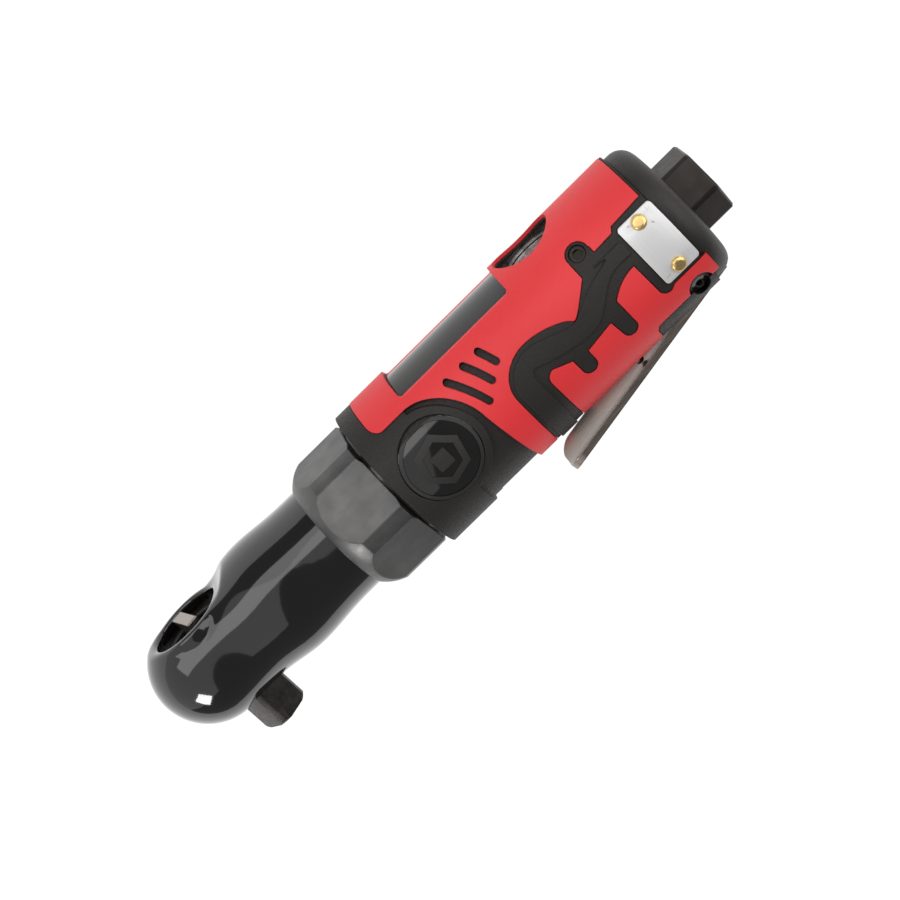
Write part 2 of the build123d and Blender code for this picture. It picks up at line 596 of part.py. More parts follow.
with BuildPart() as motor_housing:
    with BuildSketch(Plane.XY):
        with BuildLine():
            Polyline((SPIGOT_FRONT, 0), (SPIGOT_FRONT, THREAD_R), (HOUSING_FRONT, THREAD_R),
                     (HOUSING_FRONT, HOUSING_R), (HOUSING_REAR, HOUSING_R), (HOUSING_REAR, 0), close=True)
        make_face()
    revolve(axis=Axis.X)
    with BuildSketch(across_x(SPIGOT_FRONT - 1)):
        Circle(MOTOR_BORE_R)
    extrude(amount=MOTOR_REAR - SPIGOT_FRONT + 1, mode=Mode.SUBTRACT)
    with BuildSketch(across_x(MOTOR_REAR)):
        Circle(MOTOR_BORE_R - 1.5)
    extrude(amount=PLENUM_REAR - MOTOR_REAR, mode=Mode.SUBTRACT)
    # flat under the lever and the slot that its ears work in
    with BuildSketch(across_y(FLAT_Y - 6)):
        with Locations(((HOUSING_FRONT + 16 + HOUSING_REAR + 1) / 2, 0)):
            Rectangle(HOUSING_REAR + 1 - HOUSING_FRONT - 16, 40)
    extrude(amount=6, mode=Mode.SUBTRACT)
    with BuildSketch(across_y(SLOT_TOP - 12)):
        with Locations(((SLOT_FRONT + HOUSING_REAR + 2) / 2, 0)):
            Rectangle(HOUSING_REAR + 2 - SLOT_FRONT, 2 * SLOT_HALF)
    extrude(amount=12, mode=Mode.SUBTRACT)
    with BuildSketch(Plane.XY):
        with Locations((PIN_X, PIN_Y)):
            Circle(PIN_R)
    extrude(amount=HOUSING_R, both=True, mode=Mode.SUBTRACT)
    # valve bore, regulator pocket and its stem bore
    with BuildSketch(across_y(FLAT_Y - 1)):
        with Locations((VALVE_X, 0)):
            Circle(VALVE_BORE_R)
    extrude(amount=VALVE_TOP - FLAT_Y + 1, mode=Mode.SUBTRACT)
    with BuildSketch(across_y(DIAL_FLOOR)):
        with Locations((DIAL_X, 0)):
            Circle(DIAL_POCKET_R)
    extrude(amount=HOUSING_R, mode=Mode.SUBTRACT)
    with BuildSketch(across_y(0)):
        with Locations((DIAL_X, 0)):
            Circle(STEM_R)
    extrude(amount=DIAL_FLOOR + 1, mode=Mode.SUBTRACT)
    # snap groove that holds the regulator dial
    with BuildSketch(across_y(DIAL_FLOOR + 2.5)):
        with Locations((DIAL_X, 0)):
            Circle(RING_R + 0.1)
    extrude(amount=0.7, mode=Mode.SUBTRACT)
    # inlet bore, the passage to the valve and the gallery to the motor
    with BuildSketch(across_x(INLET_BORE_X)):
        Circle(INLET_BORE_R)
    extrude(amount=HOUSING_REAR, mode=Mode.SUBTRACT)
    with BuildSketch(across_x(VALVE_X)):
        Circle(3.2)
    extrude(amount=INLET_BORE_X - VALVE_X + 1, mode=Mode.SUBTRACT)
    with BuildSketch(across_x(PLENUM_REAR - 1)):
        with Locations((GALLERY_Y, 0)):
            Circle(GALLERY_R)
    extrude(amount=VALVE_X - PLENUM_REAR + 1, mode=Mode.SUBTRACT)
    # exhaust galleries from the motor to the rear cap
    with BuildSketch(across_x(MOTOR_REAR - 1)):
        for turn in EXHAUST_ANGLES:
            with Locations((EXHAUST_ORBIT * sin(radians(turn)), EXHAUST_ORBIT * cos(radians(turn)))):
                Circle(EXHAUST_R)
    extrude(amount=HOUSING_REAR, mode=Mode.SUBTRACT)
    for turn in SCREW_ANGLES:
        with BuildSketch(radial_plane(SCREW_X, turn, SCREW_FLOOR)):
            Circle(SCREW_R)
        extrude(amount=6, mode=Mode.SUBTRACT)
save(motor_housing.part, "motor_housing")

# ================================================================ GRIP AND COVERS
BADGE_X = 69.5
BADGE_Y = 1.7
BADGE_R = 9.6
WINDOW_FRONT = 71.9      # window in the upper cover that shows the bare housing
WINDOW_REAR = HOUSING_REAR - 35.6
WINDOW_SIDE_Y = COVER_R - 3.75     # the window's side edges
COVER_FRONT = 61.8
COVER_REAR = HOUSING_REAR - 0.6
TAIL_REAR = HOUSING_REAR + 1.4
FAR = 1.6 * HOUSING_R    # beyond the skin


def upper_outline(g=0.0):
    """Side view of the upper cover, grown by g all round."""
    r = HOUSING_REAR
    with BuildSketch() as zone:
        with BuildLine():
            Line((COVER_FRONT - g, FAR), (COVER_FRONT - g, 16.6))
            RadiusArc((COVER_FRONT - g, 16.6), (64.6, 14.2 - g), -2.6 - g)
            Line((64.6, 14.2 - g), (r - 70.2, 14.2 - g))
            ThreePointArc((r - 70.2, 14.2 - g), (r - 61.8 - 0.7 * g, 10.4 - 0.7 * g), (r - 58.2 - g, 1.5))
            Polyline((r - 58.2 - g, 1.5), (r - 56.3 - g, -17.0), (r - 56.3 - g, -FAR),
                     (r - 51.3 + g, -FAR), (r - 50.85 + g, -1.5))
            Spline((r - 50.85 + g, -1.5), (r - 48.3 + 0.8 * g, 4.6 - 0.6 * g), (r - 42.2, 7.1 - g),
                   (r - 30.5, 3.9 - g), (r - 22 + g, 8.3 - 0.7 * g), tangents=((0, 1), (1, 0.75)))
            Polyline((r - 22 + g, 8.3 - 0.7 * g), (r - 21.9 + g, 12.0), (r - 16 - g, 12.0),
                     (r - 16 - g, 10.4 - g), (r - 10.6, 10.6 - g), (r - 9.6, 11.6 - g),
                     (COVER_REAR + g, 12.0 - g), (COVER_REAR + g, FAR),
                     (COVER_FRONT - g, FAR))
        make_face()
    return zone.sketch


def lower_outline(g=0.0):
    """Side view of the lower cover with its comb-like upper edge, grown by g all round."""
    r = HOUSING_REAR
    with BuildSketch() as zone:
        with BuildLine():
            Line((r - 42.75 - g, -FAR), (r - 42.75 - g, -3.6))
            RadiusArc((r - 42.75 - g, -3.6), (r - 40.6, -1.4 + g), 2.3 + g)
            Polyline((r - 40.6, -1.4 + g), (r - 36.15 + g, -3.4 + g), (r - 36.1 + g, -7.4))
            RadiusArc((r - 36.1 + g, -7.4), (r - 32.1 - g, -7.4), -2.02 + g)
            Polyline((r - 32.1 - g, -7.4), (r - 32 - g, -4.2 + g), (r - 24.3 + g, -3.2 + g),
                     (r - 23.9 + g, -7.8))
            RadiusArc((r - 23.9 + g, -7.8), (r - 20 - g, -7.8), -1.97 + g)
            Line((r - 20 - g, -7.8), (r - 20 - g, -0.5 + g))
            ThreePointArc((r - 20 - g, -0.5 + g), (r - 16.6, 1.6 + g), (r - 12.1 + g, 2.5 + g))
            Line((r - 12.1 + g, 2.5 + g), (r - 11.9 + g, -6.2))
            RadiusArc((r - 11.9 + g, -6.2), (r - 9.6, -8.2 + g), -2.3 + g)
            Polyline((r - 9.6, -8.2 + g), (r - 8.2, -7.4 + g), (TAIL_REAR + g, -7.4 + g),
                     (TAIL_REAR + g, -13.1 - g), (r - 17 + g, -13.1 - g), (r - 18 + g, -14.2),
                     (r - 18 + g, -FAR), (r - 42.75 - g, -FAR))
        make_face()
    return zone.sketch


r = HOUSING_REAR
with BuildSketch() as band_middle:
    with BuildLine():
        Line((r - 49.9, -FAR), (r - 49.75, -1.5))
        Spline((r - 49.75, -1.5), (r - 47.5, 3.9), (r - 42.2, 6.0), (r - 30.5, 2.8), (r - 21.4, 6.2),
               (r - 15.8, 8.0),
               (r - 10.6, 8.4), tangents=((0, 1), (1, 0)))
        Line((r - 10.6, 8.4), (r - 10.6, 5.0))
        Spline((r - 10.6, 5.0), (r - 16.2, 4.8), (r - 21.9, 1.5), (r - 26.2, -1.3), (r - 31.8, -1.4),
               (r - 41.5, 1.2), (r - 44.8, -2.0), tangents=((-1, 0), (0, -1)))
        Line((r - 44.8, -2.0), (r - 45.3, -FAR))
        Line((r - 45.3, -FAR), (r - 49.9, -FAR))
    make_face()


def skin(x0, x1, r_out, r_in, flat_out, flat_in):
    """Sleeve about the tool axis whose underside is flat, as a plain solid."""
    with BuildPart() as p:
        with BuildSketch(across_x(x0)):
            Circle(r_out)
            with Locations((flat_out - FAR, 0)):
                Rectangle(2 * FAR, 80, mode=Mode.SUBTRACT)
            with BuildSketch(mode=Mode.PRIVATE) as inside:
                Circle(r_in)
                with Locations((flat_in - FAR, 0)):
                    Rectangle(2 * FAR, 80, mode=Mode.SUBTRACT)
            add(inside.sketch, mode=Mode.SUBTRACT)
        extrude(amount=x1 - x0)
    return p.part


def through(sketch):
    """A side outline run right through the tool along Z."""
    with BuildPart() as p:
        add(sketch)
        extrude(amount=FAR, both=True)
    return p.part


def slot_solid(ends, width):
    """Rounded slot from one end to the other in the side view, through the skin."""
    (x0, y0), (x1, y1) = ends
    with BuildSketch() as s:
        SlotArc(RadiusArc((x0, y0), (x1, y1), 26, mode=Mode.PRIVATE), height=width)
    return through(s.sketch)


upper_solid = through(upper_outline())
lower_solid = through(lower_outline())
upper_gap = through(upper_outline(GAP))
lower_gap = through(lower_outline(GAP))
LOBE_R = 2.85
SLOTS = (((r - 59.2, 12.2), (r - 55.2, 3.6)), ((r - 54.1, 12.2), (r - 51.6, 6.4)),
         ((r - 49.5, 12.2), (r - 48.1, 8.6)))
SLOT_WIDTH = 1.9
BOSS_R = 11.5            # round pad of the grip that frames the badge
PLATE_X = HOUSING_REAR - 4.6
PLATE_ANGLE = 6.5        # middle of the name plate, degrees from +Z towards +Y
PLATE_LENGTH_X = 9.8
PLATE_HEIGHT = 16.8
PLATE_T = 0.8
PLATE_R = GRIP_R - 0.35  # underside of the curved name plate
RIVET_R = 1.5
RIVET_SHANK_R = 0.9
RIVET_ANGLES = (PLATE_ANGLE + 18.7, PLATE_ANGLE - 18.7)
BADGE_SURFACE_R = GRIP_R + 0.3
PIN_HALF = SLOT_HALF + 3.3         # half the length of the lever's pin
LEVER_ROOM_X = HOUSING_REAR - 21.7     # the covers end here under the lever, so that it can close

with BuildPart() as lobes:
    for turn in SCREW_ANGLES:
        with BuildSketch(radial_plane(SCREW_X, turn, 10)):
            Circle(LOBE_R)
        extrude(amount=14)
with BuildPart() as lobe_bosses:
    for turn in SCREW_ANGLES:
        with BuildSketch(radial_plane(SCREW_X, turn, 10)):
            Circle(LOBE_R - GAP)
        extrude(amount=14)
with BuildPart() as screw_wells:
    for turn in SCREW_ANGLES:
        with BuildSketch(radial_plane(SCREW_X, turn, SCREW_FLOOR)):
            Circle(SCREW_R + 0.6)
        extrude(amount=14)
with BuildPart() as window:
    with BuildSketch(Plane.XY):
        with Locations(((WINDOW_FRONT + WINDOW_REAR) / 2, WINDOW_SIDE_Y + 20)):
            RectangleRounded(WINDOW_REAR - WINDOW_FRONT, 40, 0.8)
    extrude(amount=FAR, both=True)
with BuildPart() as pin_notch:
    with BuildSketch(Plane.XY):
        with Locations((PIN_X, PIN_Y)):
            Circle(PIN_R + 2.1)
    extrude(amount=FAR, both=True)
dial_hole = disc_y(0, FAR, DIAL_HOLE_R, x=DIAL_X)
plunger_hole = disc_y(-FAR, 0, 3.2, x=VALVE_X)
with BuildPart() as seats:
    with BuildSketch(Plane.XY):
        with Locations((BADGE_X, BADGE_Y)):
            Circle(BADGE_R + GAP)
    extrude(amount=FAR, both=True)
    add(tube(BADGE_X - 15, BADGE_X + 15, FAR, GRIP_UNDER_R), mode=Mode.INTERSECT)
with BuildPart() as plate_seat:
    with BuildSketch(radial_plane(PLATE_X, PLATE_ANGLE, 10)):
        RectangleRounded(PLATE_LENGTH_X + 2 * GAP, PLATE_HEIGHT + 2 * GAP, 0.9)
    extrude(amount=FAR)
    add(tube(PLATE_X - 15, PLATE_X + 15, FAR + 10, PLATE_R - SLIP), mode=Mode.INTERSECT)
with BuildPart() as rivet_holes:
    for turn in RIVET_ANGLES:
        with BuildSketch(radial_plane(PLATE_X, turn, HOUSING_R - 0.5)):
            Circle(RIVET_SHANK_R)
        extrude(amount=6)
with BuildPart() as pin_room:
    with BuildSketch(Plane.XY):
        with Locations((PIN_X, PIN_Y)):
            Circle(PIN_R + 1.1)
    extrude(amount=FAR, both=True)
with BuildPart() as lever_room:
    with BuildSketch(across_y(-FAR)):
        with Locations(((LEVER_ROOM_X + TAIL_REAR + 1) / 2, 0)):
            Rectangle(TAIL_REAR + 1 - LEVER_ROOM_X, 2 * SLOT_HALF + 0.4)
    extrude(amount=FAR)


def red_cover(zone, name, cuts):
    """Moulded cover: the sleeve inside one outline, less its openings."""
    with BuildPart() as cover:
        add(skin(COVER_FRONT - 1, TAIL_REAR + 1, COVER_R, COVER_IN_R, COVER_FLAT_Y, COVER_IN_FLAT_Y))
        add(zone, mode=Mode.INTERSECT)
        for cut in cuts:
            add(cut, mode=Mode.SUBTRACT)
    save(cover.part, name)


slot_cuts = [slot_solid(ends, SLOT_WIDTH) for ends in SLOTS]
red_cover(upper_solid, "upper_cover", [window.part, dial_hole, lobes.part, *slot_cuts])
red_cover(lower_solid, "lower_cover", [plunger_hole, lever_room.part, pin_notch.part])

# thin layer of the grip that runs on under the red covers
flat_x = HOUSING_FRONT + 16
UNDER_FLAT_Y = COVER_IN_FLAT_Y + 0.1
with BuildPart() as under_layer:
    add(tube(HOUSING_FRONT + 0.1, flat_x, GRIP_UNDER_R, HOUSING_R + SLIP))
    add(skin(flat_x, HOUSING_REAR, GRIP_UNDER_R, HOUSING_R + SLIP, UNDER_FLAT_Y, FLAT_Y - SLIP))

# raised grip wherever no red cover lies, a little into the thin layer so that they are one
RAISED_IN_R = GRIP_UNDER_R - 0.3
SASH_FRONT = HOUSING_FRONT + 13.5      # the red sash lies between these
SASH_REAR = HOUSING_REAR - 51.0
with BuildPart() as raised:
    add(tube(HOUSING_FRONT + 0.1, flat_x, GRIP_R, RAISED_IN_R))
    add(skin(flat_x, HOUSING_REAR, GRIP_R, RAISED_IN_R, COVER_FLAT_Y, UNDER_FLAT_Y + 0.2))
    with BuildSketch(Plane.XY):
        with Locations(((SASH_FRONT + SASH_REAR) / 2, 0)):
            Rectangle(SASH_REAR - SASH_FRONT, 2 * FAR)
        with Locations((BADGE_X, BADGE_Y)):
            Circle(BOSS_R, mode=Mode.SUBTRACT)
    extrude(amount=FAR, both=True, mode=Mode.SUBTRACT)
    add(upper_gap, mode=Mode.SUBTRACT)
    add(lower_gap, mode=Mode.SUBTRACT)

with BuildPart() as middle:
    add(skin(HOUSING_REAR - 51.2, HOUSING_REAR - 10.2, BAND_R, RAISED_IN_R, COVER_FLAT_Y - 0.4,
             UNDER_FLAT_Y + 0.2))
    add(through(band_middle.sketch), mode=Mode.INTERSECT)

with BuildPart() as boss_pads:
    add(lobe_bosses.part)
    add(tube(SCREW_X - 12, SCREW_X + 8, GRIP_R, RAISED_IN_R), mode=Mode.INTERSECT)

with BuildPart() as grip_housing:
    add(under_layer.part)
    add(raised.part)
    add(middle.part)
    add(boss_pads.part)
    for cut in (window.part, dial_hole, plunger_hole, lever_room.part, screw_wells.part, seats.part,
                plate_seat.part, rivet_holes.part, pin_room.part):
        add(cut, mode=Mode.SUBTRACT)
save(grip_housing.part, "grip_housing")

with BuildPart() as side_badges:
    with BuildSketch(Plane.XY):
        with Locations((BADGE_X, BADGE_Y)):
            Circle(BADGE_R)
    extrude(amount=FAR, both=True)
    add(tube(BADGE_X - 15, BADGE_X + 15, BADGE_SURFACE_R, GRIP_UNDER_R + SLIP), mode=Mode.INTERSECT)
save(side_badges.part, "side_badges")

with BuildPart() as name_plate:
    with BuildSketch(radial_plane(PLATE_X, PLATE_ANGLE, 10)):
        RectangleRounded(PLATE_LENGTH_X, PLATE_HEIGHT, 0.9)
    extrude(amount=FAR)
    add(tube(PLATE_X - 15, PLATE_X + 15, PLATE_R + PLATE_T, PLATE_R), mode=Mode.INTERSECT)
    add(rivet_holes.part, mode=Mode.SUBTRACT)
save(name_plate.part, "name_plate")

with BuildPart() as plate_rivets:
    for turn in RIVET_ANGLES:
        with BuildSketch(radial_plane(PLATE_X, turn, HOUSING_R + SLIP)):
            Circle(RIVET_SHANK_R - 0.02)
        extrude(amount=PLATE_R + PLATE_T - HOUSING_R)
        with BuildSketch(radial_plane(PLATE_X, turn, PLATE_R + PLATE_T + SLIP)):
            Circle(RIVET_R)
        extrude(amount=0.8)
    domes = plate_rivets.edges().filter_by(GeomType.CIRCLE).filter_by(
        lambda e: abs(e.radius - RIVET_R) < 0.01 and
        sqrt(e.center().Y ** 2 + e.center().Z ** 2) > PLATE_R + PLATE_T + 0.4)
    fillet(domes, radius=0.6)
save(plate_rivets.part, "plate_rivets")

with BuildPart() as cover_screws:
    for turn in SCREW_ANGLES:
        with BuildSketch(radial_plane(SCREW_X, turn, SCREW_FLOOR + 0.3)):
            Circle(SCREW_R - 0.02)
        extrude(amount=HOUSING_R - SCREW_FLOOR + 0.2)
        with BuildSketch(radial_plane(SCREW_X, turn, HOUSING_R + 0.12)):
            Circle(SCREW_R + 0.45)
        extrude(amount=1.0)
        with BuildSketch(radial_plane(SCREW_X, turn, HOUSING_R + 0.3)):
            RegularPolygon(1.2, 6)
        extrude(amount=3, mode=Mode.SUBTRACT)
save(cover_screws.part, "cover_screws")

# ================================================================ THROTTLE AND REGULATOR
BUSH_TOP = -4.6          # the valve seat
BUSH_BOTTOM = FLAT_Y + 0.2
PLUNGER_R = 1.15
lean = radians(LEVER_ANGLE)
ARCH_CENTRE = LEVER_INNER - sqrt(ARCH_R ** 2 - (LEVER_WIDTH / 2) ** 2)
PLUNGER_TIP = PIN_Y - (PIN_X - VALVE_X) * tan(lean) - (ARCH_CENTRE + ARCH_R) / cos(lean) + GAP
POPPET_R = 2.7
SEAT_R = 1.9

with BuildPart() as valve_bush:
    with BuildSketch(across_y(BUSH_BOTTOM)):
        with Locations((VALVE_X, 0)):
            Circle(VALVE_BORE_R - 0.02)
            Circle(PLUNGER_R + RUN, mode=Mode.SUBTRACT)
    extrude(amount=BUSH_TOP - BUSH_BOTTOM)
    with BuildSketch(across_y(BUSH_BOTTOM + 3.0)):
        with Locations((VALVE_X, 0)):
            Circle(2.9)
    extrude(amount=BUSH_TOP - BUSH_BOTTOM - 4.2, mode=Mode.SUBTRACT)
    with BuildSketch(across_y(BUSH_TOP - 2)):
        with Locations((VALVE_X, 0)):
            Circle(SEAT_R)
    extrude(amount=3, mode=Mode.SUBTRACT)
    with BuildSketch(across_x(VALVE_X - 8)):
        with Locations((GALLERY_Y, 0)):
            Circle(GALLERY_R)
    extrude(amount=8, mode=Mode.SUBTRACT)
save(valve_bush.part, "valve_bush")

ORING_MINOR = 0.55
with BuildPart() as throttle_valve:
    with BuildSketch(across_y(PLUNGER_TIP)):
        with Locations((VALVE_X, 0)):
            Circle(PLUNGER_R)
    extrude(amount=BUSH_TOP - PLUNGER_TIP)
    tip_edge = throttle_valve.edges().group_by(Axis.Y)[0]
    fillet(tip_edge, radius=PLUNGER_R - 0.1)
    with BuildSketch(across_y(BUSH_TOP)):
        with Locations((VALVE_X, 0)):
            Circle(PLUNGER_R)
    extrude(amount=2 * ORING_MINOR)
    with BuildSketch(across_y(BUSH_TOP + 2 * ORING_MINOR)):
        with Locations((VALVE_X, 0)):
            Circle(POPPET_R)
    extrude(amount=1.6)
save(throttle_valve.part, "throttle_valve")

with BuildPart() as valve_oring:
    with BuildSketch(Plane.XY):
        with Locations((VALVE_X + SEAT_R + 0.25, BUSH_TOP + ORING_MINOR)):
            Circle(ORING_MINOR - 0.01)
    revolve(axis=Axis((VALVE_X, 0, 0), (0, 1, 0)))
save(valve_oring.part, "valve_oring")


def coil_spring(start, direction, length, radius, wire, turns):
    """Plain compression spring, its wire's ends left square."""
    rise = (length - wire) / turns
    with BuildPart() as spring:
        with BuildLine() as coil:
            Helix(rise, length - wire, radius, center=(0, 0, wire / 2))
        with BuildSketch(Plane(coil.line @ 0, z_dir=coil.line % 0)):
            Circle(wire / 2)
        sweep(path=coil.line, is_frenet=True)
    return Plane(origin=start, z_dir=direction).location * spring.part


spring_bottom = BUSH_TOP + 2 * ORING_MINOR + 1.6 + SLIP
save(coil_spring((VALVE_X, spring_bottom, 0), (0, 1, 0), VALVE_TOP - 0.2 - spring_bottom, 3.1, 0.5, 5),
     "valve_spring")

with BuildPart() as regulator_dial:
    with BuildSketch(across_y(DIAL_FLOOR + SLIP)):
        with Locations((DIAL_X, 0)):
            Circle(DIAL_R)
    extrude(amount=2.3)
    rim = regulator_dial.edges().group_by(Axis.Y)[-1]
    chamfer(rim, length=0.4)
    with BuildSketch(across_y(VALVE_TOP + 0.4)):
        with Locations((DIAL_X, 0)):
            Circle(STEM_R - RUN)
    extrude(amount=DIAL_FLOOR - VALVE_TOP)
    with BuildSketch(across_y(DIAL_FLOOR + 1.15)):
        with Locations((DIAL_X, 0)):
            Rectangle(1.6, 10)
    extrude(amount=3, mode=Mode.SUBTRACT)
save(regulator_dial.part, "regulator_dial")

with BuildPart() as regulator_ring:
    with BuildSketch(across_y(DIAL_FLOOR + 2.55)):
        with Locations((DIAL_X, 0)):
            Circle(RING_R)
            Circle(DIAL_R - 0.9, mode=Mode.SUBTRACT)
        with Locations((DIAL_X - DIAL_R, 0)):
            Rectangle(4, 3, mode=Mode.SUBTRACT)
    extrude(amount=0.6)
save(regulator_ring.part, "regulator_ring")

# ================================================================ LEVER
EAR_T = 1.5
LEVER_LENGTH = (PIN_X - LEVER_TIP_X + LEVER_INNER * sin(lean)) / cos(lean)
along = Vector(-cos(lean), -sin(lean), 0)          # from the hinge to the tip
outward = Vector(sin(lean), -cos(lean), 0)         # away from the tool
side_plane = Plane(origin=(PIN_X, PIN_Y, 0), x_dir=along, z_dir=along.cross(outward))
strip_plane = Plane(origin=Vector(PIN_X, PIN_Y, 0) - along * 6.5, x_dir=outward, z_dir=along)
top_plane = Plane(origin=(PIN_X, PIN_Y, 0), x_dir=along, z_dir=outward)
with BuildPart() as lever:
    with BuildSketch(strip_plane):
        with Locations((ARCH_CENTRE, 0)):
            Circle(ARCH_R + LEVER_WALL)
            Circle(ARCH_R, mode=Mode.SUBTRACT)
        with Locations((LEVER_INNER + 4, 0)):
            Rectangle(9, LEVER_WIDTH, mode=Mode.INTERSECT)
    extrude(amount=LEVER_LENGTH + 6.5)
    with BuildSketch(top_plane):
        with Locations(((LEVER_LENGTH - 6.5) / 2, 0)):
            RectangleRounded(LEVER_LENGTH + 6.5, LEVER_WIDTH, 4.5)
        with Locations((-3.5, 0)):
            Rectangle(6, LEVER_WIDTH)
    extrude(amount=12, mode=Mode.INTERSECT)
    for side in (1, -1):
        z0 = side * (LEVER_WIDTH / 2 - EAR_T)
        with BuildSketch(side_plane.offset(z0)):
            with BuildLine():
                Line((-6.4, LEVER_INNER + 1.2), (-5.6, -0.6))
                Line((-5.6, -0.6), (-2.2, -2.6))
                RadiusArc((-2.2, -2.6), (2.6, -2.2), 3.4)
                Line((2.6, -2.2), (10.5, LEVER_INNER + 0.9))
                Line((10.5, LEVER_INNER + 0.9), (-6.4, LEVER_INNER + 1.2))
            make_face()
            Circle(PIN_R + RUN, mode=Mode.SUBTRACT)
        extrude(amount=side * EAR_T)
save(lever.part, "lever")

with BuildPart() as lever_pin:
    with BuildSketch(Plane.XY.offset(-PIN_HALF)):
        with Locations((PIN_X, PIN_Y)):
            Circle(PIN_R)
            Circle(PIN_R - 0.6, mode=Mode.SUBTRACT)
    extrude(amount=2 * PIN_HALF)
save(lever_pin.part, "lever_pin")

# ================================================================ INLET AND REAR CAP
BUSHING_FRONT = INLET_BORE_X + 0.5
SCREEN_X = INLET_END - INLET_THREAD_LENGTH
with BuildPart() as inlet_bushing:
    with BuildSketch(across_x(CAP_REAR + SLIP)):
        Circle(INLET_R)
        RegularPolygon(INLET_FLATS / 2, 6, major_radius=False, rotation=60 - NUT_TURN, mode=Mode.INTERSECT)
    extrude(amount=INLET_END - CAP_REAR - SLIP)
    corners = inlet_bushing.faces().sort_by(Axis.X)[-1].edges()
    chamfer(corners, length=0.5)
    with BuildSketch(across_x(BUSHING_FRONT)):
        Circle(INLET_BORE_R - SLIP)
    extrude(amount=CAP_REAR + SLIP - BUSHING_FRONT)
    with BuildSketch(across_x(BUSHING_FRONT + 3)):
        Circle(INLET_BORE_R)
        Circle(INLET_BORE_R - 1.2, mode=Mode.SUBTRACT)
    extrude(amount=1.5, mode=Mode.SUBTRACT)
    with BuildSketch(across_x(SCREEN_X)):
        Circle(INLET_THREAD_R)
    extrude(amount=INLET_THREAD_LENGTH + 1, mode=Mode.SUBTRACT)
    with BuildSketch(across_x(SCREEN_X - 0.8)):
        Circle(INLET_THREAD_R - 0.6)
    extrude(amount=2, mode=Mode.SUBTRACT)
    with BuildSketch(across_x(BUSHING_FRONT - 1)):
        Circle(INLET_THREAD_R - 1.4)
    extrude(amount=SCREEN_X - BUSHING_FRONT, mode=Mode.SUBTRACT)
save(inlet_bushing.part, "inlet_bushing")

with BuildPart() as inlet_oring:
    with BuildSketch(Plane.XY):
        with Locations((BUSHING_FRONT + 3.75, INLET_BORE_R - 0.62)):
            Circle(0.56)
    revolve(axis=Axis.X)
save(inlet_oring.part, "inlet_oring")

with BuildPart() as inlet_screen:
    with BuildSketch(across_x(SCREEN_X - 0.75)):
        Circle(INLET_THREAD_R - 0.65)
        with GridLocations(1.5, 1.5, 5, 5):
            Rectangle(1.0, 1.0, mode=Mode.SUBTRACT)
    extrude(amount=0.6)
save(inlet_screen.part, "inlet_screen")

CAP_FRONT = HOUSING_REAR + SLIP
CAP_EDGE = 4.3
CAP_WALL = 2.0
CAP_SIDE = 2.6
CAP_HUB = 2.0
NOTCH_HALF = SLOT_HALF + 0.2
with BuildPart() as rear_cap:
    with BuildSketch(across_x(CAP_FRONT)):
        Circle(CAP_R)
        with Locations((COVER_FLAT_Y - 20, 0)):
            Rectangle(40, 80, mode=Mode.SUBTRACT)
    extrude(amount=CAP_REAR - CAP_FRONT)
    rear_edges = rear_cap.faces().sort_by(Axis.X)[-1].edges()
    fillet(rear_edges, radius=CAP_EDGE)
    with BuildSketch(across_x(CAP_FRONT - 1)):
        Circle(INLET_BORE_R + SLIP)
    extrude(amount=CAP_REAR, mode=Mode.SUBTRACT)
    with BuildSketch(across_x(CAP_FRONT - 1)):
        Circle(CAP_R - CAP_SIDE)
        Circle(INLET_BORE_R + CAP_HUB, mode=Mode.SUBTRACT)
    extrude(amount=CAP_REAR - CAP_WALL - CAP_FRONT + 1, mode=Mode.SUBTRACT)
    with BuildSketch(across_y(-FAR)):
        with Locations((CAP_FRONT + 1.9, 0)):
            Rectangle(5.0, 2 * NOTCH_HALF)
    extrude(amount=FAR - 10.2, mode=Mode.SUBTRACT)
    with BuildSketch(across_x(CAP_REAR - CAP_WALL - 1)):
        with PolarLocations(12.2, 9, start_angle=-140, angular_range=280):
            SlotCenterToCenter(2.4, 1.5, rotation=90)
    extrude(amount=CAP_WALL + 2, mode=Mode.SUBTRACT)
save(rear_cap.part, "rear_cap")

with BuildPart() as exhaust_silencer:
    with BuildSketch(across_x(CAP_FRONT + 0.3)):
        Circle(CAP_R - CAP_SIDE - GAP)
        Circle(INLET_BORE_R + CAP_HUB + GAP, mode=Mode.SUBTRACT)
        with Locations((SLOT_TOP + FREE, 0)):
            Rectangle(CAP_R, 3 * CAP_R, align=(Align.MAX, Align.CENTER), mode=Mode.SUBTRACT)
    extrude(amount=CAP_REAR - CAP_WALL - CAP_FRONT - 0.5)
save(exhaust_silencer.part, "exhaust_silencer")

# ================================================================ SQUARE DRIVE, PAWL AND SELECTOR
FLANGE_R = 8.5
SELECTOR_R = 5.5
SELECTOR_FLOOR = 5.0
STEM_HOLE_R = 2.35
PAWL_HALF_Y = 4.0
POCKET_ANGLE = 52
PAWL_ANGLE = 36
PAWL_R = 6.6
PAWL_IN_R = 3.3
BALL_R = 1.2
BALL_OUT = 0.5
BALL_Y = DRIVE_TIP + 4.6
BALL_START = -1.2        # inner end of the ball's hole from the drive axis
PAWL_PIN_R = 0.9
SELECTOR_TURN = 20.0     # the bar's turn from Z towards X at rest, degrees
SELECTOR_TOP = 7.4
BAR_LENGTH = 12.0
BAR_WIDTH = 3.0
BAR_TOP = 11.75
PLUNGER_PIN_R = 0.85
PLUNGER_OUT = 2.95       # the sprung plunger's reach from the drive axis
square_plane = Plane(origin=(0, DRIVE_TIP, 0), x_dir=(cos(radians(DRIVE_TURN)), 0, -sin(radians(DRIVE_TURN))),
                     z_dir=(0, 1, 0))


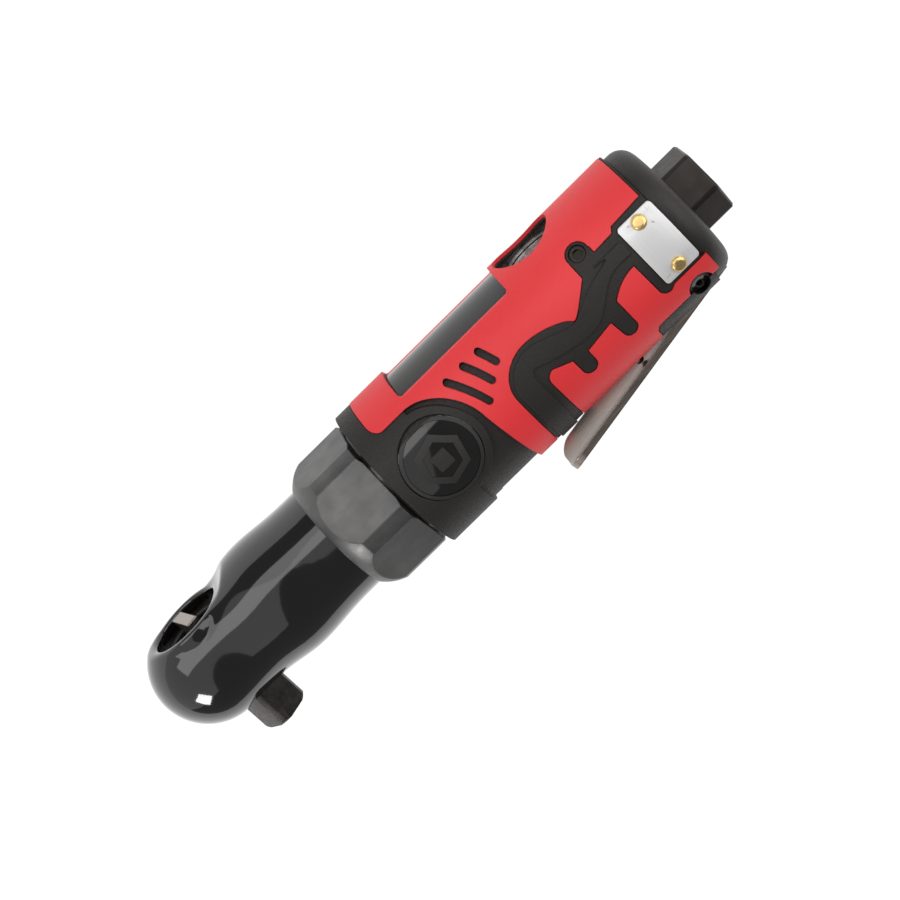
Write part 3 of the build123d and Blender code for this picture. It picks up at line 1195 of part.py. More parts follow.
def drive_plane(y):
    """Plane across the drive axis, turned with the square."""
    return Plane(origin=(0, y, 0), x_dir=square_plane.x_dir, z_dir=(0, 1, 0))


def turned(angle):
    """Unit vector across the drive axis; zero is +X and a quarter turn is -Z."""
    return Vector(cos(radians(angle)), 0, -sin(radians(angle)))


ball_axis = turned(DRIVE_TURN)
ball_plane = Plane(origin=Vector(0, BALL_Y, 0) + ball_axis * BALL_START, z_dir=ball_axis)
plunger_axis = Axis((0, 0, 0), turned(DRIVE_TURN + 12))
plunger_plane = Plane(origin=Vector(0, 0, 0), z_dir=plunger_axis.direction)


def sector(r_in, r_out, half_angle):
    """Ring sector about the sketch origin, centred on local +x."""
    a = radians(half_angle)
    with BuildSketch() as s:
        with BuildLine():
            ThreePointArc((r_out * cos(a), -r_out * sin(a)), (r_out, 0), (r_out * cos(a), r_out * sin(a)))
            Line((r_out * cos(a), r_out * sin(a)), (r_in * cos(a), r_in * sin(a)))
            ThreePointArc((r_in * cos(a), r_in * sin(a)), (r_in, 0), (r_in * cos(a), -r_in * sin(a)))
            Line((r_in * cos(a), -r_in * sin(a)), (r_out * cos(a), -r_out * sin(a)))
        make_face()
    return s.sketch


with BuildPart() as anvil:
    with BuildSketch(drive_plane(DRIVE_TIP)):
        Rectangle(DRIVE_SIZE, DRIVE_SIZE)
        chamfer(vertices(), length=DRIVE_CORNER)
    extrude(amount=JOURNAL_END - DRIVE_TIP + 0.5)
    with BuildSketch(Plane.XY):
        with BuildLine():
            Polyline((0, DRIVE_TIP), (5.3, DRIVE_TIP), (7.0, DRIVE_TIP + 1.7), (7.0, 0), (0, 0), close=True)
        make_face()
    revolve(axis=Axis.Y, mode=Mode.INTERSECT)
    with BuildSketch(drive_plane(JOURNAL_END)):
        Circle(JOURNAL_R)
    extrude(amount=FLANGE_Y - JOURNAL_END)
    with BuildSketch(drive_plane(FLANGE_Y)):
        Circle(FLANGE_R)
    extrude(amount=FLANGE_T)
    # seat of the selector, its stem's bore and the pocket of the pawl
    with BuildSketch(drive_plane(SELECTOR_FLOOR)):
        Circle(SELECTOR_R + RUN)
    extrude(amount=FLANGE_T + FLANGE_Y, mode=Mode.SUBTRACT)
    with BuildSketch(drive_plane(-PAWL_HALF_Y - 0.2)):
        Circle(STEM_HOLE_R)
    extrude(amount=SELECTOR_FLOOR + PAWL_HALF_Y + 1, mode=Mode.SUBTRACT)
    with BuildSketch(drive_plane(-PAWL_HALF_Y - 0.1)):
        add(sector(1.5, JOURNAL_R + 1, POCKET_ANGLE))
    extrude(amount=2 * PAWL_HALF_Y + 0.2, mode=Mode.SUBTRACT)
    with BuildSketch(drive_plane(-PAWL_HALF_Y - 1.8)):
        with Locations((PAWL_PIVOT_R, 0)):
            Circle(PAWL_PIN_R)
    extrude(amount=SELECTOR_FLOOR + PAWL_HALF_Y + 1.7, mode=Mode.SUBTRACT)
    # hole of the socket-retaining ball
    with BuildSketch(ball_plane):
        Circle(BALL_R + RUN)
    extrude(amount=DRIVE_SIZE / 2 + 3, mode=Mode.SUBTRACT)
save(anvil.part, "anvil")

with BuildPart() as pawl:
    with BuildSketch(drive_plane(-PAWL_HALF_Y)):
        add(sector(PAWL_IN_R, PAWL_R, PAWL_ANGLE))
        with Locations((PAWL_PIVOT_R, 0)):
            Circle(PAWL_PIN_R + RUN, mode=Mode.SUBTRACT)
        for turn in (-34, -28, -22, 22, 28, 34):
            with PolarLocations(PAWL_R, 1, start_angle=turn):
                Rectangle(0.5, 0.5, rotation=45, mode=Mode.SUBTRACT)
    extrude(amount=2 * PAWL_HALF_Y)
save(pawl.part, "pawl")

with BuildPart() as pawl_pin:
    with BuildSketch(drive_plane(-PAWL_HALF_Y - 1.7)):
        with Locations((PAWL_PIVOT_R, 0)):
            Circle(PAWL_PIN_R - 0.01)
    extrude(amount=SELECTOR_FLOOR + PAWL_HALF_Y + 1.5)
save(pawl_pin.part, "pawl_pin")


def selector_plane(y):
    """Plane across the drive axis, turned with the selector's bar."""
    a = radians(SELECTOR_TURN)
    return Plane(origin=(0, y, 0), x_dir=(sin(a), 0, cos(a)), z_dir=(0, 1, 0))


with BuildPart() as selector:
    with BuildSketch(selector_plane(SELECTOR_FLOOR + RUN)):
        Circle(SELECTOR_R)
    extrude(amount=SELECTOR_TOP - SELECTOR_FLOOR)
    with BuildSketch(selector_plane(SELECTOR_TOP - 0.5)):
        Rectangle(BAR_LENGTH, BAR_WIDTH)
    extrude(amount=BAR_TOP - SELECTOR_TOP + 0.5)
    bar_edges = selector.faces().sort_by(Axis.Y)[-1].edges()
    chamfer(bar_edges, length=0.2)
    with BuildSketch(selector_plane(-PAWL_HALF_Y + 0.2)):
        Circle(STEM_HOLE_R - RUN - 0.1)
    extrude(amount=SELECTOR_FLOOR + PAWL_HALF_Y)
    with BuildSketch(plunger_plane):
        Circle(PLUNGER_PIN_R + RUN)
    extrude(amount=4, mode=Mode.SUBTRACT)
save(selector.part, "selector")

with BuildPart() as selector_plunger:
    with BuildSketch(plunger_plane.offset(PLUNGER_OUT - 1.6)):
        Circle(PLUNGER_PIN_R)
    extrude(amount=1.6)
    nose_edge = selector_plunger.edges().filter_by(GeomType.CIRCLE).sort_by(plunger_axis)[-1]
    fillet(nose_edge, radius=0.6)
save(selector_plunger.part, "selector_plunger")
save(coil_spring(plunger_plane.origin + plunger_plane.z_dir * 0.02, plunger_plane.z_dir,
                 PLUNGER_OUT - 1.66, 0.6, 0.25, 3), "selector_spring")

with BuildPart() as detent_ball:
    ball_centre = ball_plane.origin + ball_plane.z_dir * (DRIVE_SIZE / 2 + BALL_OUT - BALL_R - BALL_START)
    with Locations(ball_centre):
        Sphere(BALL_R)
save(detent_ball.part, "detent_ball")
save(coil_spring(ball_plane.origin + ball_plane.z_dir * 0.05, ball_plane.z_dir, 2.3, 0.85, 0.3, 3),
     "detent_spring")
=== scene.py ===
"""Looks of a compact air ratchet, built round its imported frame.

The tool's own axis is X, from the ratchet head to the air inlet. The square drive points along -Y
and the side with the name plate faces +Z. All lengths are metres.
"""
import json
import math

import bpy
from mathutils import Matrix, Vector

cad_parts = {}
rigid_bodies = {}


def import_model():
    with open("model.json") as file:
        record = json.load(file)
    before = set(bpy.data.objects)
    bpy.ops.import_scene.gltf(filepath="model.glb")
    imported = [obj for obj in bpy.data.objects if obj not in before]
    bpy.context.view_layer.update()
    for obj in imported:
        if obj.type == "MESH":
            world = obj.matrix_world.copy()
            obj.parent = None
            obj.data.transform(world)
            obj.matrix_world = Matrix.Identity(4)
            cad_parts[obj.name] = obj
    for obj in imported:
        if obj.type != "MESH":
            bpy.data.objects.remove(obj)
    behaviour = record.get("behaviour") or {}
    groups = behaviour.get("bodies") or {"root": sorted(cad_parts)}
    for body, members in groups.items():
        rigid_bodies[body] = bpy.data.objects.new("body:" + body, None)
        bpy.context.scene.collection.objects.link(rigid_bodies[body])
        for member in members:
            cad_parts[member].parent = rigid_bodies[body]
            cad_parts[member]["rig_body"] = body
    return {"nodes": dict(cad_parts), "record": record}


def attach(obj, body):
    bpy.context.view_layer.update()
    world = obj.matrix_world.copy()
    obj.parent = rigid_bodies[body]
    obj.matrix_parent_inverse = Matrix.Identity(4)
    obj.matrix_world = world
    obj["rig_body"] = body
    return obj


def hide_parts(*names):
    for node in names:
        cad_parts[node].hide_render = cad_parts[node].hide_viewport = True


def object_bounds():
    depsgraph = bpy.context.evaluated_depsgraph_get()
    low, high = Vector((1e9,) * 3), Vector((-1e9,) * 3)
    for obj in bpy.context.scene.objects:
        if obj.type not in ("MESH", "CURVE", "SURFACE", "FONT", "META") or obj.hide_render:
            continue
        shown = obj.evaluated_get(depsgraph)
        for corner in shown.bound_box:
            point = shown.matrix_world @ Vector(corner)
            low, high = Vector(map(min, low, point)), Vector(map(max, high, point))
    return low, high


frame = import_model()
nodes = frame["nodes"]
cad_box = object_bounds()

MM = 0.001


# ---------------------------------------------------------------- camera
CAMERA_DISTANCE = 0.552          # from the tool's axis
CAMERA_X = 0.1172                # where the camera stands along the tool
CAMERA_LEAN = math.radians(17.3)     # from +Z towards +Y
CAMERA_YAW = math.radians(-4.83)     # look along the tool, back towards its middle
CAMERA_PITCH = math.radians(0.4155)
CAMERA_ROLL = math.radians(44.5)     # the tool climbs to the right in the view
LENS = 97.08                     # mm
SENSOR = 36.0                    # mm


def make_camera():
    """Camera beside the name plate's side, a little above the selector's side."""
    place = Vector((CAMERA_X, CAMERA_DISTANCE * math.sin(CAMERA_LEAN),
                    CAMERA_DISTANCE * math.cos(CAMERA_LEAN)))
    aim = Vector((CAMERA_X + CAMERA_DISTANCE * math.tan(CAMERA_YAW), 0, 0))
    ahead = (aim - place).normalized()
    along = (Vector((1, 0, 0)) - ahead * ahead.x).normalized()
    above = along.cross(ahead)
    ahead, above = (ahead * math.cos(CAMERA_PITCH) - above * math.sin(CAMERA_PITCH),
                    above * math.cos(CAMERA_PITCH) + ahead * math.sin(CAMERA_PITCH))
    right = along * math.cos(CAMERA_ROLL) - above * math.sin(CAMERA_ROLL)
    up = along * math.sin(CAMERA_ROLL) + above * math.cos(CAMERA_ROLL)
    data = bpy.data.cameras.new("camera")
    data.lens = LENS
    data.sensor_width = SENSOR
    data.clip_start = 0.01
    data.clip_end = 20
    camera = bpy.data.objects.new("camera", data)
    bpy.context.scene.collection.objects.link(camera)
    camera.matrix_world = Matrix((
        (right.x, up.x, -ahead.x, place.x),
        (right.y, up.y, -ahead.y, place.y),
        (right.z, up.z, -ahead.z, place.z),
        (0, 0, 0, 1)))
    bpy.context.scene.camera = camera


make_camera()


# ---------------------------------------------------------------- shader helpers
def linear(code):
    """Linear colour with alpha from an sRGB hex value such as "c8242e"."""
    parts = [int(code[i:i + 2], 16) / 255 for i in (0, 2, 4)]
    return [c / 12.92 if c <= 0.04045 else ((c + 0.055) / 1.055) ** 2.4 for c in parts] + [1.0]


def add(tree, kind, settings, sockets):
    """Adds a node with its settings, its sockets' values and the links that come into it."""
    made = tree.nodes.new(kind)
    for name, value in settings.items():
        setattr(made, name, value)
    for name, value in sockets.items():
        if isinstance(value, bpy.types.NodeSocket):
            tree.links.new(value, made.inputs[name])
        else:
            made.inputs[name].default_value = value
    return made


def start(name, **values):
    """New material with its Principled shader; values are that shader's own sockets."""
    made = bpy.data.materials.new(name)
    made.use_nodes = True
    tree = made.node_tree
    shader = tree.nodes["Principled BSDF"]
    for key, value in values.items():
        shader.inputs[key.replace("_", " ")].default_value = value
    place = tree.nodes.new("ShaderNodeTexCoord").outputs["Object"]
    return made, tree, shader, place


def per(mm):
    """Texture scale whose features are this many millimetres across."""
    return 1000.0 / mm


def two_tone(tree, shader, factor, low, high):
    """Base colour that wanders between two sRGB hex colours."""
    blend = add(tree, "ShaderNodeMix", {"data_type": "RGBA"}, {0: factor, 6: linear(low), 7: linear(high)})
    tree.links.new(blend.outputs[2], shader.inputs["Base Color"])
    return blend


def between(tree, value, low, high):
    """A 0 to 1 pattern mapped onto a range."""
    return add(tree, "ShaderNodeMapRange", {}, {"Value": value, "From Min": 0.3, "From Max": 0.7,
                                                "To Min": low, "To Max": high}).outputs["Result"]


def relief(tree, shader, height, depth_mm, strength=1.0, under=None):
    """Bump of a real depth, laid over another bump if one is given."""
    sockets = {"Height": height, "Distance": depth_mm * MM, "Strength": strength}
    if under is not None:
        sockets["Normal"] = under
    bump = add(tree, "ShaderNodeBump", {}, sockets)
    tree.links.new(bump.outputs["Normal"], shader.inputs["Normal"])
    return bump.outputs["Normal"]


def rounded(tree, radius_mm):
    """Normals of edges as moulding or tumbling leaves them, with a real radius."""
    return add(tree, "ShaderNodeBevel", {"samples": 6}, {"Radius": radius_mm * MM}).outputs["Normal"]


def clouds(tree, place, size_mm, detail=3.0, stretch=(1, 1, 1)):
    """Soft patches of a real size, drawn out along the axes by stretch."""
    room = add(tree, "ShaderNodeMapping", {}, {"Vector": place, "Scale": stretch})
    return add(tree, "ShaderNodeTexNoise", {}, {"Vector": room.outputs["Vector"], "Scale": per(size_mm),
                                                "Detail": detail}).outputs["Fac"]


def middle_of(name):
    """Middle of a CAD node's box, at rest."""
    corners = [nodes[name].matrix_world @ Vector(corner) for corner in nodes[name].bound_box]
    return (Vector(map(min, zip(*corners))) + Vector(map(max, zip(*corners)))) / 2


# ---------------------------------------------------------------- materials
def forged_head_enamel():
    """Gloss black enamel baked on forged steel: deep black, mirror-like, with a slow orange-peel wave."""
    made, tree, shader, place = start("gloss_black_enamel", Roughness=0.09, IOR=1.5, Coat_Weight=0.6,
                                      Coat_Roughness=0.04)
    two_tone(tree, shader, clouds(tree, place, 9.0), "090808", "100e0d")
    swell = relief(tree, shader, clouds(tree, place, 6.5, 1.0), 0.05, 0.5)
    relief(tree, shader, clouds(tree, place, 1.6, 1.0), 0.004, 0.5, swell)
    return made


def black_oxide_steel():
    """Turned and milled steel under hot black oxide: dark grey sheen, cloudy stains, fine tool lines."""
    made, tree, shader, place = start("black_oxide_steel", Metallic=0.9)
    two_tone(tree, shader, between(tree, clouds(tree, place, 7.0, 3.0), 0, 1), "595858", "6a6968")
    rub = clouds(tree, place, 1.6, 4.0, (0.35, 1, 1))
    tree.links.new(between(tree, rub, 0.36, 0.46), shader.inputs["Roughness"])
    relief(tree, shader, clouds(tree, place, 0.35, 2.0, (0.2, 1, 1)), 0.004, 0.35, rounded(tree, 0.5))
    return made


def oiled_oxide_steel():
    """The inlet's heavier black oxide, soaked in oil: nearly black, soft shine, faint turning marks."""
    made, tree, shader, place = start("oiled_black_oxide", Metallic=0.8)
    two_tone(tree, shader, between(tree, clouds(tree, place, 5.0, 4.0), 0, 1), "2d2927", "3a3532")
    tree.links.new(between(tree, clouds(tree, place, 1.4, 3.0), 0.3, 0.42), shader.inputs["Roughness"])
    relief(tree, shader, clouds(tree, place, 0.3, 2.0, (2, 0.4, 0.4)), 0.004, 0.35, rounded(tree, 0.4))
    return made


def phosphated_steel():
    """Heat-treated drive steel with a phosphate film: near black, dull, with small bright rubs."""
    made, tree, shader, place = start("phosphated_steel", Metallic=0.85)
    two_tone(tree, shader, between(tree, clouds(tree, place, 2.5, 5.0), 0, 1), "2b2826", "3b3835")
    tree.links.new(between(tree, clouds(tree, place, 0.8), 0.3, 0.44), shader.inputs["Roughness"])
    relief(tree, shader, clouds(tree, place, 0.3, 2.0), 0.005, 0.4, rounded(tree, 0.4))
    return made


def anodised_housing():
    """Black hard-anodised tube, polished and sealed: dark where it is met square, pale at its outline."""
    made, tree, shader, place = start("hard_anodised_aluminium", IOR=1.55)
    drawn = clouds(tree, place, 0.9, 2.0, (0.02, 1, 1))
    two_tone(tree, shader, drawn, "1a1817", "211f1e")
    tree.links.new(between(tree, drawn, 0.13, 0.17), shader.inputs["Roughness"])
    relief(tree, shader, drawn, 0.0006, 0.3)
    return made


def moulded_grain(tree, shader, place, pitch_mm, depth_mm):
    """Spark-eroded mould texture: small round grains, with uneven gloss over them."""
    room = add(tree, "ShaderNodeMapping", {}, {"Vector": place})
    cells = add(tree, "ShaderNodeTexVoronoi", {"feature": "SMOOTH_F1"},
                {"Vector": room.outputs["Vector"], "Scale": per(pitch_mm), "Smoothness": 0.6})
    slow = relief(tree, shader, clouds(tree, place, 1.1, 2.0), 0.012, 0.35, rounded(tree, 0.35))
    relief(tree, shader, cells.outputs["Distance"], depth_mm, 0.9, slow)
    return cells.outputs["Distance"]


def grip_nylon():
    """Glass-filled black nylon with an eroded texture: dull, warm black, tiny grains that catch light."""
    made, tree, shader, place = start("textured_black_nylon", IOR=1.5, Specular_IOR_Level=0.36)
    grain = moulded_grain(tree, shader, place, 0.42, 0.07)
    two_tone(tree, shader, clouds(tree, place, 14.0, 2.0), "1b1816", "231f1d")
    tree.links.new(between(tree, grain, 0.5, 0.62), shader.inputs["Roughness"])
    return made


def cap_nylon():
    """The end cap's black nylon, moulded a little smoother than the grip."""
    made, tree, shader, place = start("smooth_black_nylon", IOR=1.5, Specular_IOR_Level=0.4)
    grain = moulded_grain(tree, shader, place, 0.34, 0.03)
    two_tone(tree, shader, clouds(tree, place, 11.0, 2.0), "1b1816", "23201e")
    tree.links.new(between(tree, grain, 0.44, 0.56), shader.inputs["Roughness"])
    return made


def cover_abs():
    """Red ABS with a fine satin texture: even colour, faint flow marks, a soft wide sheen."""
    made, tree, shader, place = start("satin_red_abs", IOR=1.53, Specular_IOR_Level=0.4)
    grain = moulded_grain(tree, shader, place, 0.3, 0.022)
    flow = clouds(tree, place, 18.0, 3.0, (0.5, 1, 1))
    two_tone(tree, shader, between(tree, flow, 0, 1), "d22b30", "d93236")
    tree.links.new(between(tree, grain, 0.48, 0.58), shader.inputs["Roughness"])
    return made


def badge_acrylic():
    """Polished black acrylic disc: very dark, sharp reflections, hairline handling marks."""
    made, tree, shader, place = start("gloss_black_acrylic", Roughness=0.08, IOR=1.49, Coat_Weight=0.3)
    two_tone(tree, shader, clouds(tree, place, 4.0), "0d0c0c", "151312")
    relief(tree, shader, clouds(tree, place, 2.5, 1.0), 0.006, 0.3)
    return made


def motif_acrylic():
    """The badge's raised marks: the same black acrylic, eroded to a matt dark grey."""
    made, tree, shader, place = start("matt_black_acrylic", IOR=1.49)
    two_tone(tree, shader, clouds(tree, place, 3.0), "1b1918", "22201e")
    tree.links.new(between(tree, clouds(tree, place, 0.3), 0.42, 0.52), shader.inputs["Roughness"])
    relief(tree, shader, clouds(tree, place, 0.15), 0.01, 0.4)
    return made


def plate_aluminium():
    """Lacquered aluminium sheet: pale grey, brushed across the tool, with small dark scuffs."""
    made, tree, shader, place = start("brushed_aluminium_sheet", Metallic=0.35, Coat_Weight=0.3)
    brushed = clouds(tree, place, 0.25, 2.0, (1, 0.04, 0.04))
    scuffs = clouds(tree, place, 1.4, 8.0)
    marks = add(tree, "ShaderNodeMapRange", {}, {"Value": scuffs, "From Min": 0.66, "From Max": 0.74})
    tone = two_tone(tree, shader, brushed, "d2d1d2", "dfdede")
    dark = add(tree, "ShaderNodeMix", {"data_type": "RGBA"},
               {0: marks.outputs["Result"], 6: tone.outputs[2], 7: linear("8f8c8b")})
    tree.links.new(dark.outputs[2], shader.inputs["Base Color"])
    tree.links.new(between(tree, brushed, 0.34, 0.42), shader.inputs["Roughness"])
    relief(tree, shader, brushed, 0.0015, 0.3, rounded(tree, 0.25))
    return made


def rivet_brass():
    """Polished brass pin heads: warm gold, darker where lacquer has thinned."""
    made, tree, shader, place = start("polished_brass", Metallic=1.0)
    two_tone(tree, shader, clouds(tree, place, 1.0, 4.0), "d6b066", "ecd398")
    tree.links.new(between(tree, clouds(tree, place, 0.5), 0.26, 0.38), shader.inputs["Roughness"])
    relief(tree, shader, clouds(tree, place, 0.4), 0.008, 0.3)
    return made


def lever_nickel():
    """Pressed steel strip, dull nickel plated: long faint press lines and a warm grey shine."""
    made, tree, shader, place = start("nickel_plated_strip", Metallic=1.0)
    lines = clouds(tree, place, 0.5, 4.0, (0.06, 1, 1))
    two_tone(tree, shader, lines, "857a73", "9d928b")
    tree.links.new(between(tree, lines, 0.24, 0.36), shader.inputs["Roughness"])
    relief(tree, shader, lines, 0.003, 0.4, rounded(tree, 0.35))
    return made


def ground_steel():
    """Ground and hardened steel: bright, with crossing grinding lines and a film of oil."""
    made, tree, shader, place = start("ground_steel", Metallic=1.0)
    lines = clouds(tree, place, 0.3, 3.0, (1, 0.15, 1))
    two_tone(tree, shader, lines, "a09e9c", "c3c1be")
    tree.links.new(between(tree, lines, 0.18, 0.32), shader.inputs["Roughness"])
    relief(tree, shader, lines, 0.004, 0.4)
    return made


def oiled_gear_steel():
    """Case-hardened gear steel: grey, slightly blue-brown heat colour, oily gloss."""
    made, tree, shader, place = start("oiled_gear_steel", Metallic=1.0)
    heat = clouds(tree, place, 6.0, 4.0)
    two_tone(tree, shader, between(tree, heat, 0, 1), "6f6b69", "8a827a")
    tree.links.new(between(tree, clouds(tree, place, 0.7), 0.2, 0.36), shader.inputs["Roughness"])
    relief(tree, shader, clouds(tree, place, 0.25), 0.005, 0.4)
    return made


def sintered_bronze():
    """Oil-filled sintered bronze: brown gold, matt, with open pores."""
    made, tree, shader, place = start("sintered_bronze", Metallic=1.0)
    pores = clouds(tree, place, 0.3, 4.0)
    two_tone(tree, shader, pores, "7d5a30", "b08a50")
    tree.links.new(between(tree, pores, 0.35, 0.55), shader.inputs["Roughness"])
    relief(tree, shader, pores, 0.02, 0.6)
    return made


def turned_aluminium():
    """Bare turned aluminium: silver with fine tool rings round the regulator's axis."""
    made, tree, shader, place = start("turned_aluminium", Metallic=1.0)
    dial = middle_of("regulator_dial")
    at_dial = add(tree, "ShaderNodeMapping", {}, {"Vector": place, "Location": (-dial.x, -dial.y, -dial.z)})
    rings = add(tree, "ShaderNodeTexWave", {"wave_type": "RINGS", "rings_direction": "Y"},
                {"Vector": at_dial.outputs["Vector"], "Scale": per(1.2), "Distortion": 0.0}).outputs["Fac"]
    two_tone(tree, shader, rings, "c2c1c1", "cdcccb")
    tree.links.new(between(tree, rings, 0.26, 0.34), shader.inputs["Roughness"])
    relief(tree, shader, rings, 0.0008, 0.3)
    return made


def vane_laminate():
    """Cotton-filled phenolic vane: dark brown, matt, with layered threads."""
    made, tree, shader, place = start("phenolic_laminate", Roughness=0.55, IOR=1.55)
    threads = clouds(tree, place, 0.4, 4.0, (0.3, 1, 1))
    two_tone(tree, shader, threads, "4a2a18", "6b4028")
    relief(tree, shader, threads, 0.01, 0.5)
    return made


def seal_nitrile():
    """Moulded nitrile rubber: soft black with a dusty bloom."""
    made, tree, shader, place = start("nitrile_rubber", IOR=1.52)
    bloom = clouds(tree, place, 1.5, 4.0)
    two_tone(tree, shader, bloom, "161616", "242322")
    tree.links.new(between(tree, bloom, 0.5, 0.7), shader.inputs["Roughness"])
    relief(tree, shader, bloom, 0.01, 0.3)
    return made


def pressed_felt():
    """Pressed wool felt behind the exhaust: grey, fuzzy, matt."""
    made, tree, shader, place = start("pressed_wool_felt", Roughness=0.95, Sheen_Weight=0.4)
    fibres = clouds(tree, place, 0.4, 6.0)
    two_tone(tree, shader, fibres, "4c4844", "6b6660")
    relief(tree, shader, fibres, 0.08, 0.7)
    return made


FINISHES = {
    "black_steel": forged_head_enamel(), "nut_steel": black_oxide_steel(), "drive_steel": phosphated_steel(),
    "housing_metal": anodised_housing(), "grip_black": grip_nylon(), "cover_red": cover_abs(),
    "badge_black": badge_acrylic(), "plate_metal": plate_aluminium(), "brass": rivet_brass(),
    "lever_steel": lever_nickel(), "bright_steel": ground_steel(), "gear_steel": oiled_gear_steel(),
    "bronze": sintered_bronze(), "aluminium_part": turned_aluminium(), "vane_plastic": vane_laminate(),
    "seal_rubber": seal_nitrile(), "cap_black": cap_nylon(), "inlet_steel": oiled_oxide_steel(),
    "felt": pressed_felt(), "badge_motif": motif_acrylic(),
}       # by slot of the frame, and the badge's motif
SLOT_OF = {part["node"]: part["material_slot"] for part in frame["record"]["subparts"]}
# nodes whose finish differs from the rest of their slot
OTHER_FINISH = {"cover_screws": "inlet_steel", "selector": "lever_steel", "lever_pin": "drive_steel"}
for name, cad_node in nodes.items():
    cad_node.data.materials.clear()
    cad_node.data.materials.append(FINISHES[OTHER_FINISH.get(name, SLOT_OF[name])])


# ---------------------------------------------------------------- sizes of the finished pieces, mm
MERGE = 0.002                # corners of a CAD mesh that are nearer than this are one
ENAMEL_GRID = 0.45           # grid of the head's new skin
ENAMEL_EVENINGS = 14         # how many times that skin is evened out
BADGE_CROWN = 20.0           # height of the badge dome's middle over the tool's axis
BADGE_DEPTH = 2.6            # from there down to the badge's underside
BADGE_LENGTHEN = 1.55        # the dome falls away less along the tool than round it
ROUND_SIDES = 96             # corners of a badge's round outlines
MOTIF_RISE = 0.22            # how far rim and motif stand proud of the dome
MOTIF = ((0.985, 0.9, ROUND_SIDES), (0.66, 0.47, 6), (0.3, 0.0, 4))
# rim, hexagon and square: outside and inside over the badge's radius, then the number of corners
CUT_OVER = 2.0               # how far a cutting shape reaches past what it cuts
RIVET_ANGLES = (25.2, -12.2)     # from +Z towards +Y, degrees
RIVET_SEAT = 19.95           # the name plate's face over the tool's axis
RIVET_R = 1.85
RIVET_RISE = 0.95
ROUNDED_EDGES = {"anvil": 0.25, "name_plate": 0.2, "rear_cap": 0.3}
SHARP = math.radians(40)     # edges sharper than this stay sharp in the shading


# ---------------------------------------------------------------- mesh helpers
def only(piece):
    """Selects one object and makes it active."""
    bpy.ops.object.select_all(action="DESELECT")
    piece.select_set(True)
    bpy.context.view_layer.objects.active = piece


def copy_of(name, new_name):
    """A separate, merged copy of a CAD node, to be worked on and shown in its place."""
    source = nodes[name]
    piece = bpy.data.objects.new(new_name, source.data.copy())
    bpy.context.scene.collection.objects.link(piece)
    only(piece)
    bpy.ops.object.mode_set(mode="EDIT")
    bpy.ops.mesh.select_all(action="SELECT")
    bpy.ops.mesh.remove_doubles(threshold=MERGE * MM)
    bpy.ops.object.mode_set(mode="OBJECT")
    return piece


def stands_for(piece, name):
    """The finished piece takes over a CAD node: its body and its place in the picture."""
    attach(piece, nodes[name]["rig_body"])
    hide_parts(name)


def apply_all(piece):
    only(piece)
    for modifier in list(piece.modifiers):
        bpy.ops.object.modifier_apply(modifier=modifier.name)


def softened(name, width_mm):
    """A copy of a CAD node with its sharp edges rounded."""
    piece = copy_of(name, "rounded_" + name)
    rounding = piece.modifiers.new("edges", "BEVEL")
    rounding.width = width_mm * MM
    rounding.segments = 3
    rounding.limit_method = "ANGLE"
    rounding.angle_limit = math.radians(35)
    rounding.use_clamp_overlap = True
    rounding.harden_normals = False
    apply_all(piece)
    bpy.ops.object.shade_smooth_by_angle(angle=SHARP)
    stands_for(piece, name)


def enamelled_head():
    """The forged head: every edge of the forging drowned in enamel, so it is one flowing skin."""
    piece = copy_of("ratchet_head", "enamelled_head")
    skin = piece.modifiers.new("skin", "REMESH")
    skin.mode = "VOXEL"
    skin.voxel_size = ENAMEL_GRID * MM
    flow = piece.modifiers.new("flow", "SMOOTH")
    flow.factor = 0.5
    flow.iterations = ENAMEL_EVENINGS
    apply_all(piece)
    bpy.ops.object.shade_smooth()
    stands_for(piece, "ratchet_head")


def solid_cut(piece, tool, operation):
    """Keeps what the operation leaves of the piece, and removes the tool."""
    cut = piece.modifiers.new("cut", "BOOLEAN")
    cut.operation = operation
    cut.object = tool
    cut.solver = "EXACT"
    apply_all(piece)
    bpy.data.objects.remove(tool)


def prism(sides, radius_mm, low_mm, high_mm, centre, turn=0.0):
    """Upright prism along Z round a point of the tool, with its place in the mesh."""
    bpy.ops.object.select_all(action="DESELECT")
    bpy.ops.mesh.primitive_cylinder_add(
        vertices=sides, radius=radius_mm * MM, depth=(high_mm - low_mm) * MM, rotation=(0, 0, turn),
        location=(centre.x, centre.y, (low_mm + high_mm) / 2 * MM))
    bpy.ops.object.transform_apply(location=True, rotation=True, scale=True)
    return bpy.context.object


def dome(centre, crown_mm):
    """Long ellipsoid round the tool's axis, whose skin is a badge's domed face."""
    bpy.ops.object.select_all(action="DESELECT")
    bpy.ops.mesh.primitive_uv_sphere_add(segments=160, ring_count=96, radius=crown_mm * MM,
                                         location=(centre.x, 0, 0))
    bpy.context.object.scale = (BADGE_LENGTHEN, 1, 1)
    bpy.ops.object.transform_apply(location=True, rotation=True, scale=True)
    return bpy.context.object


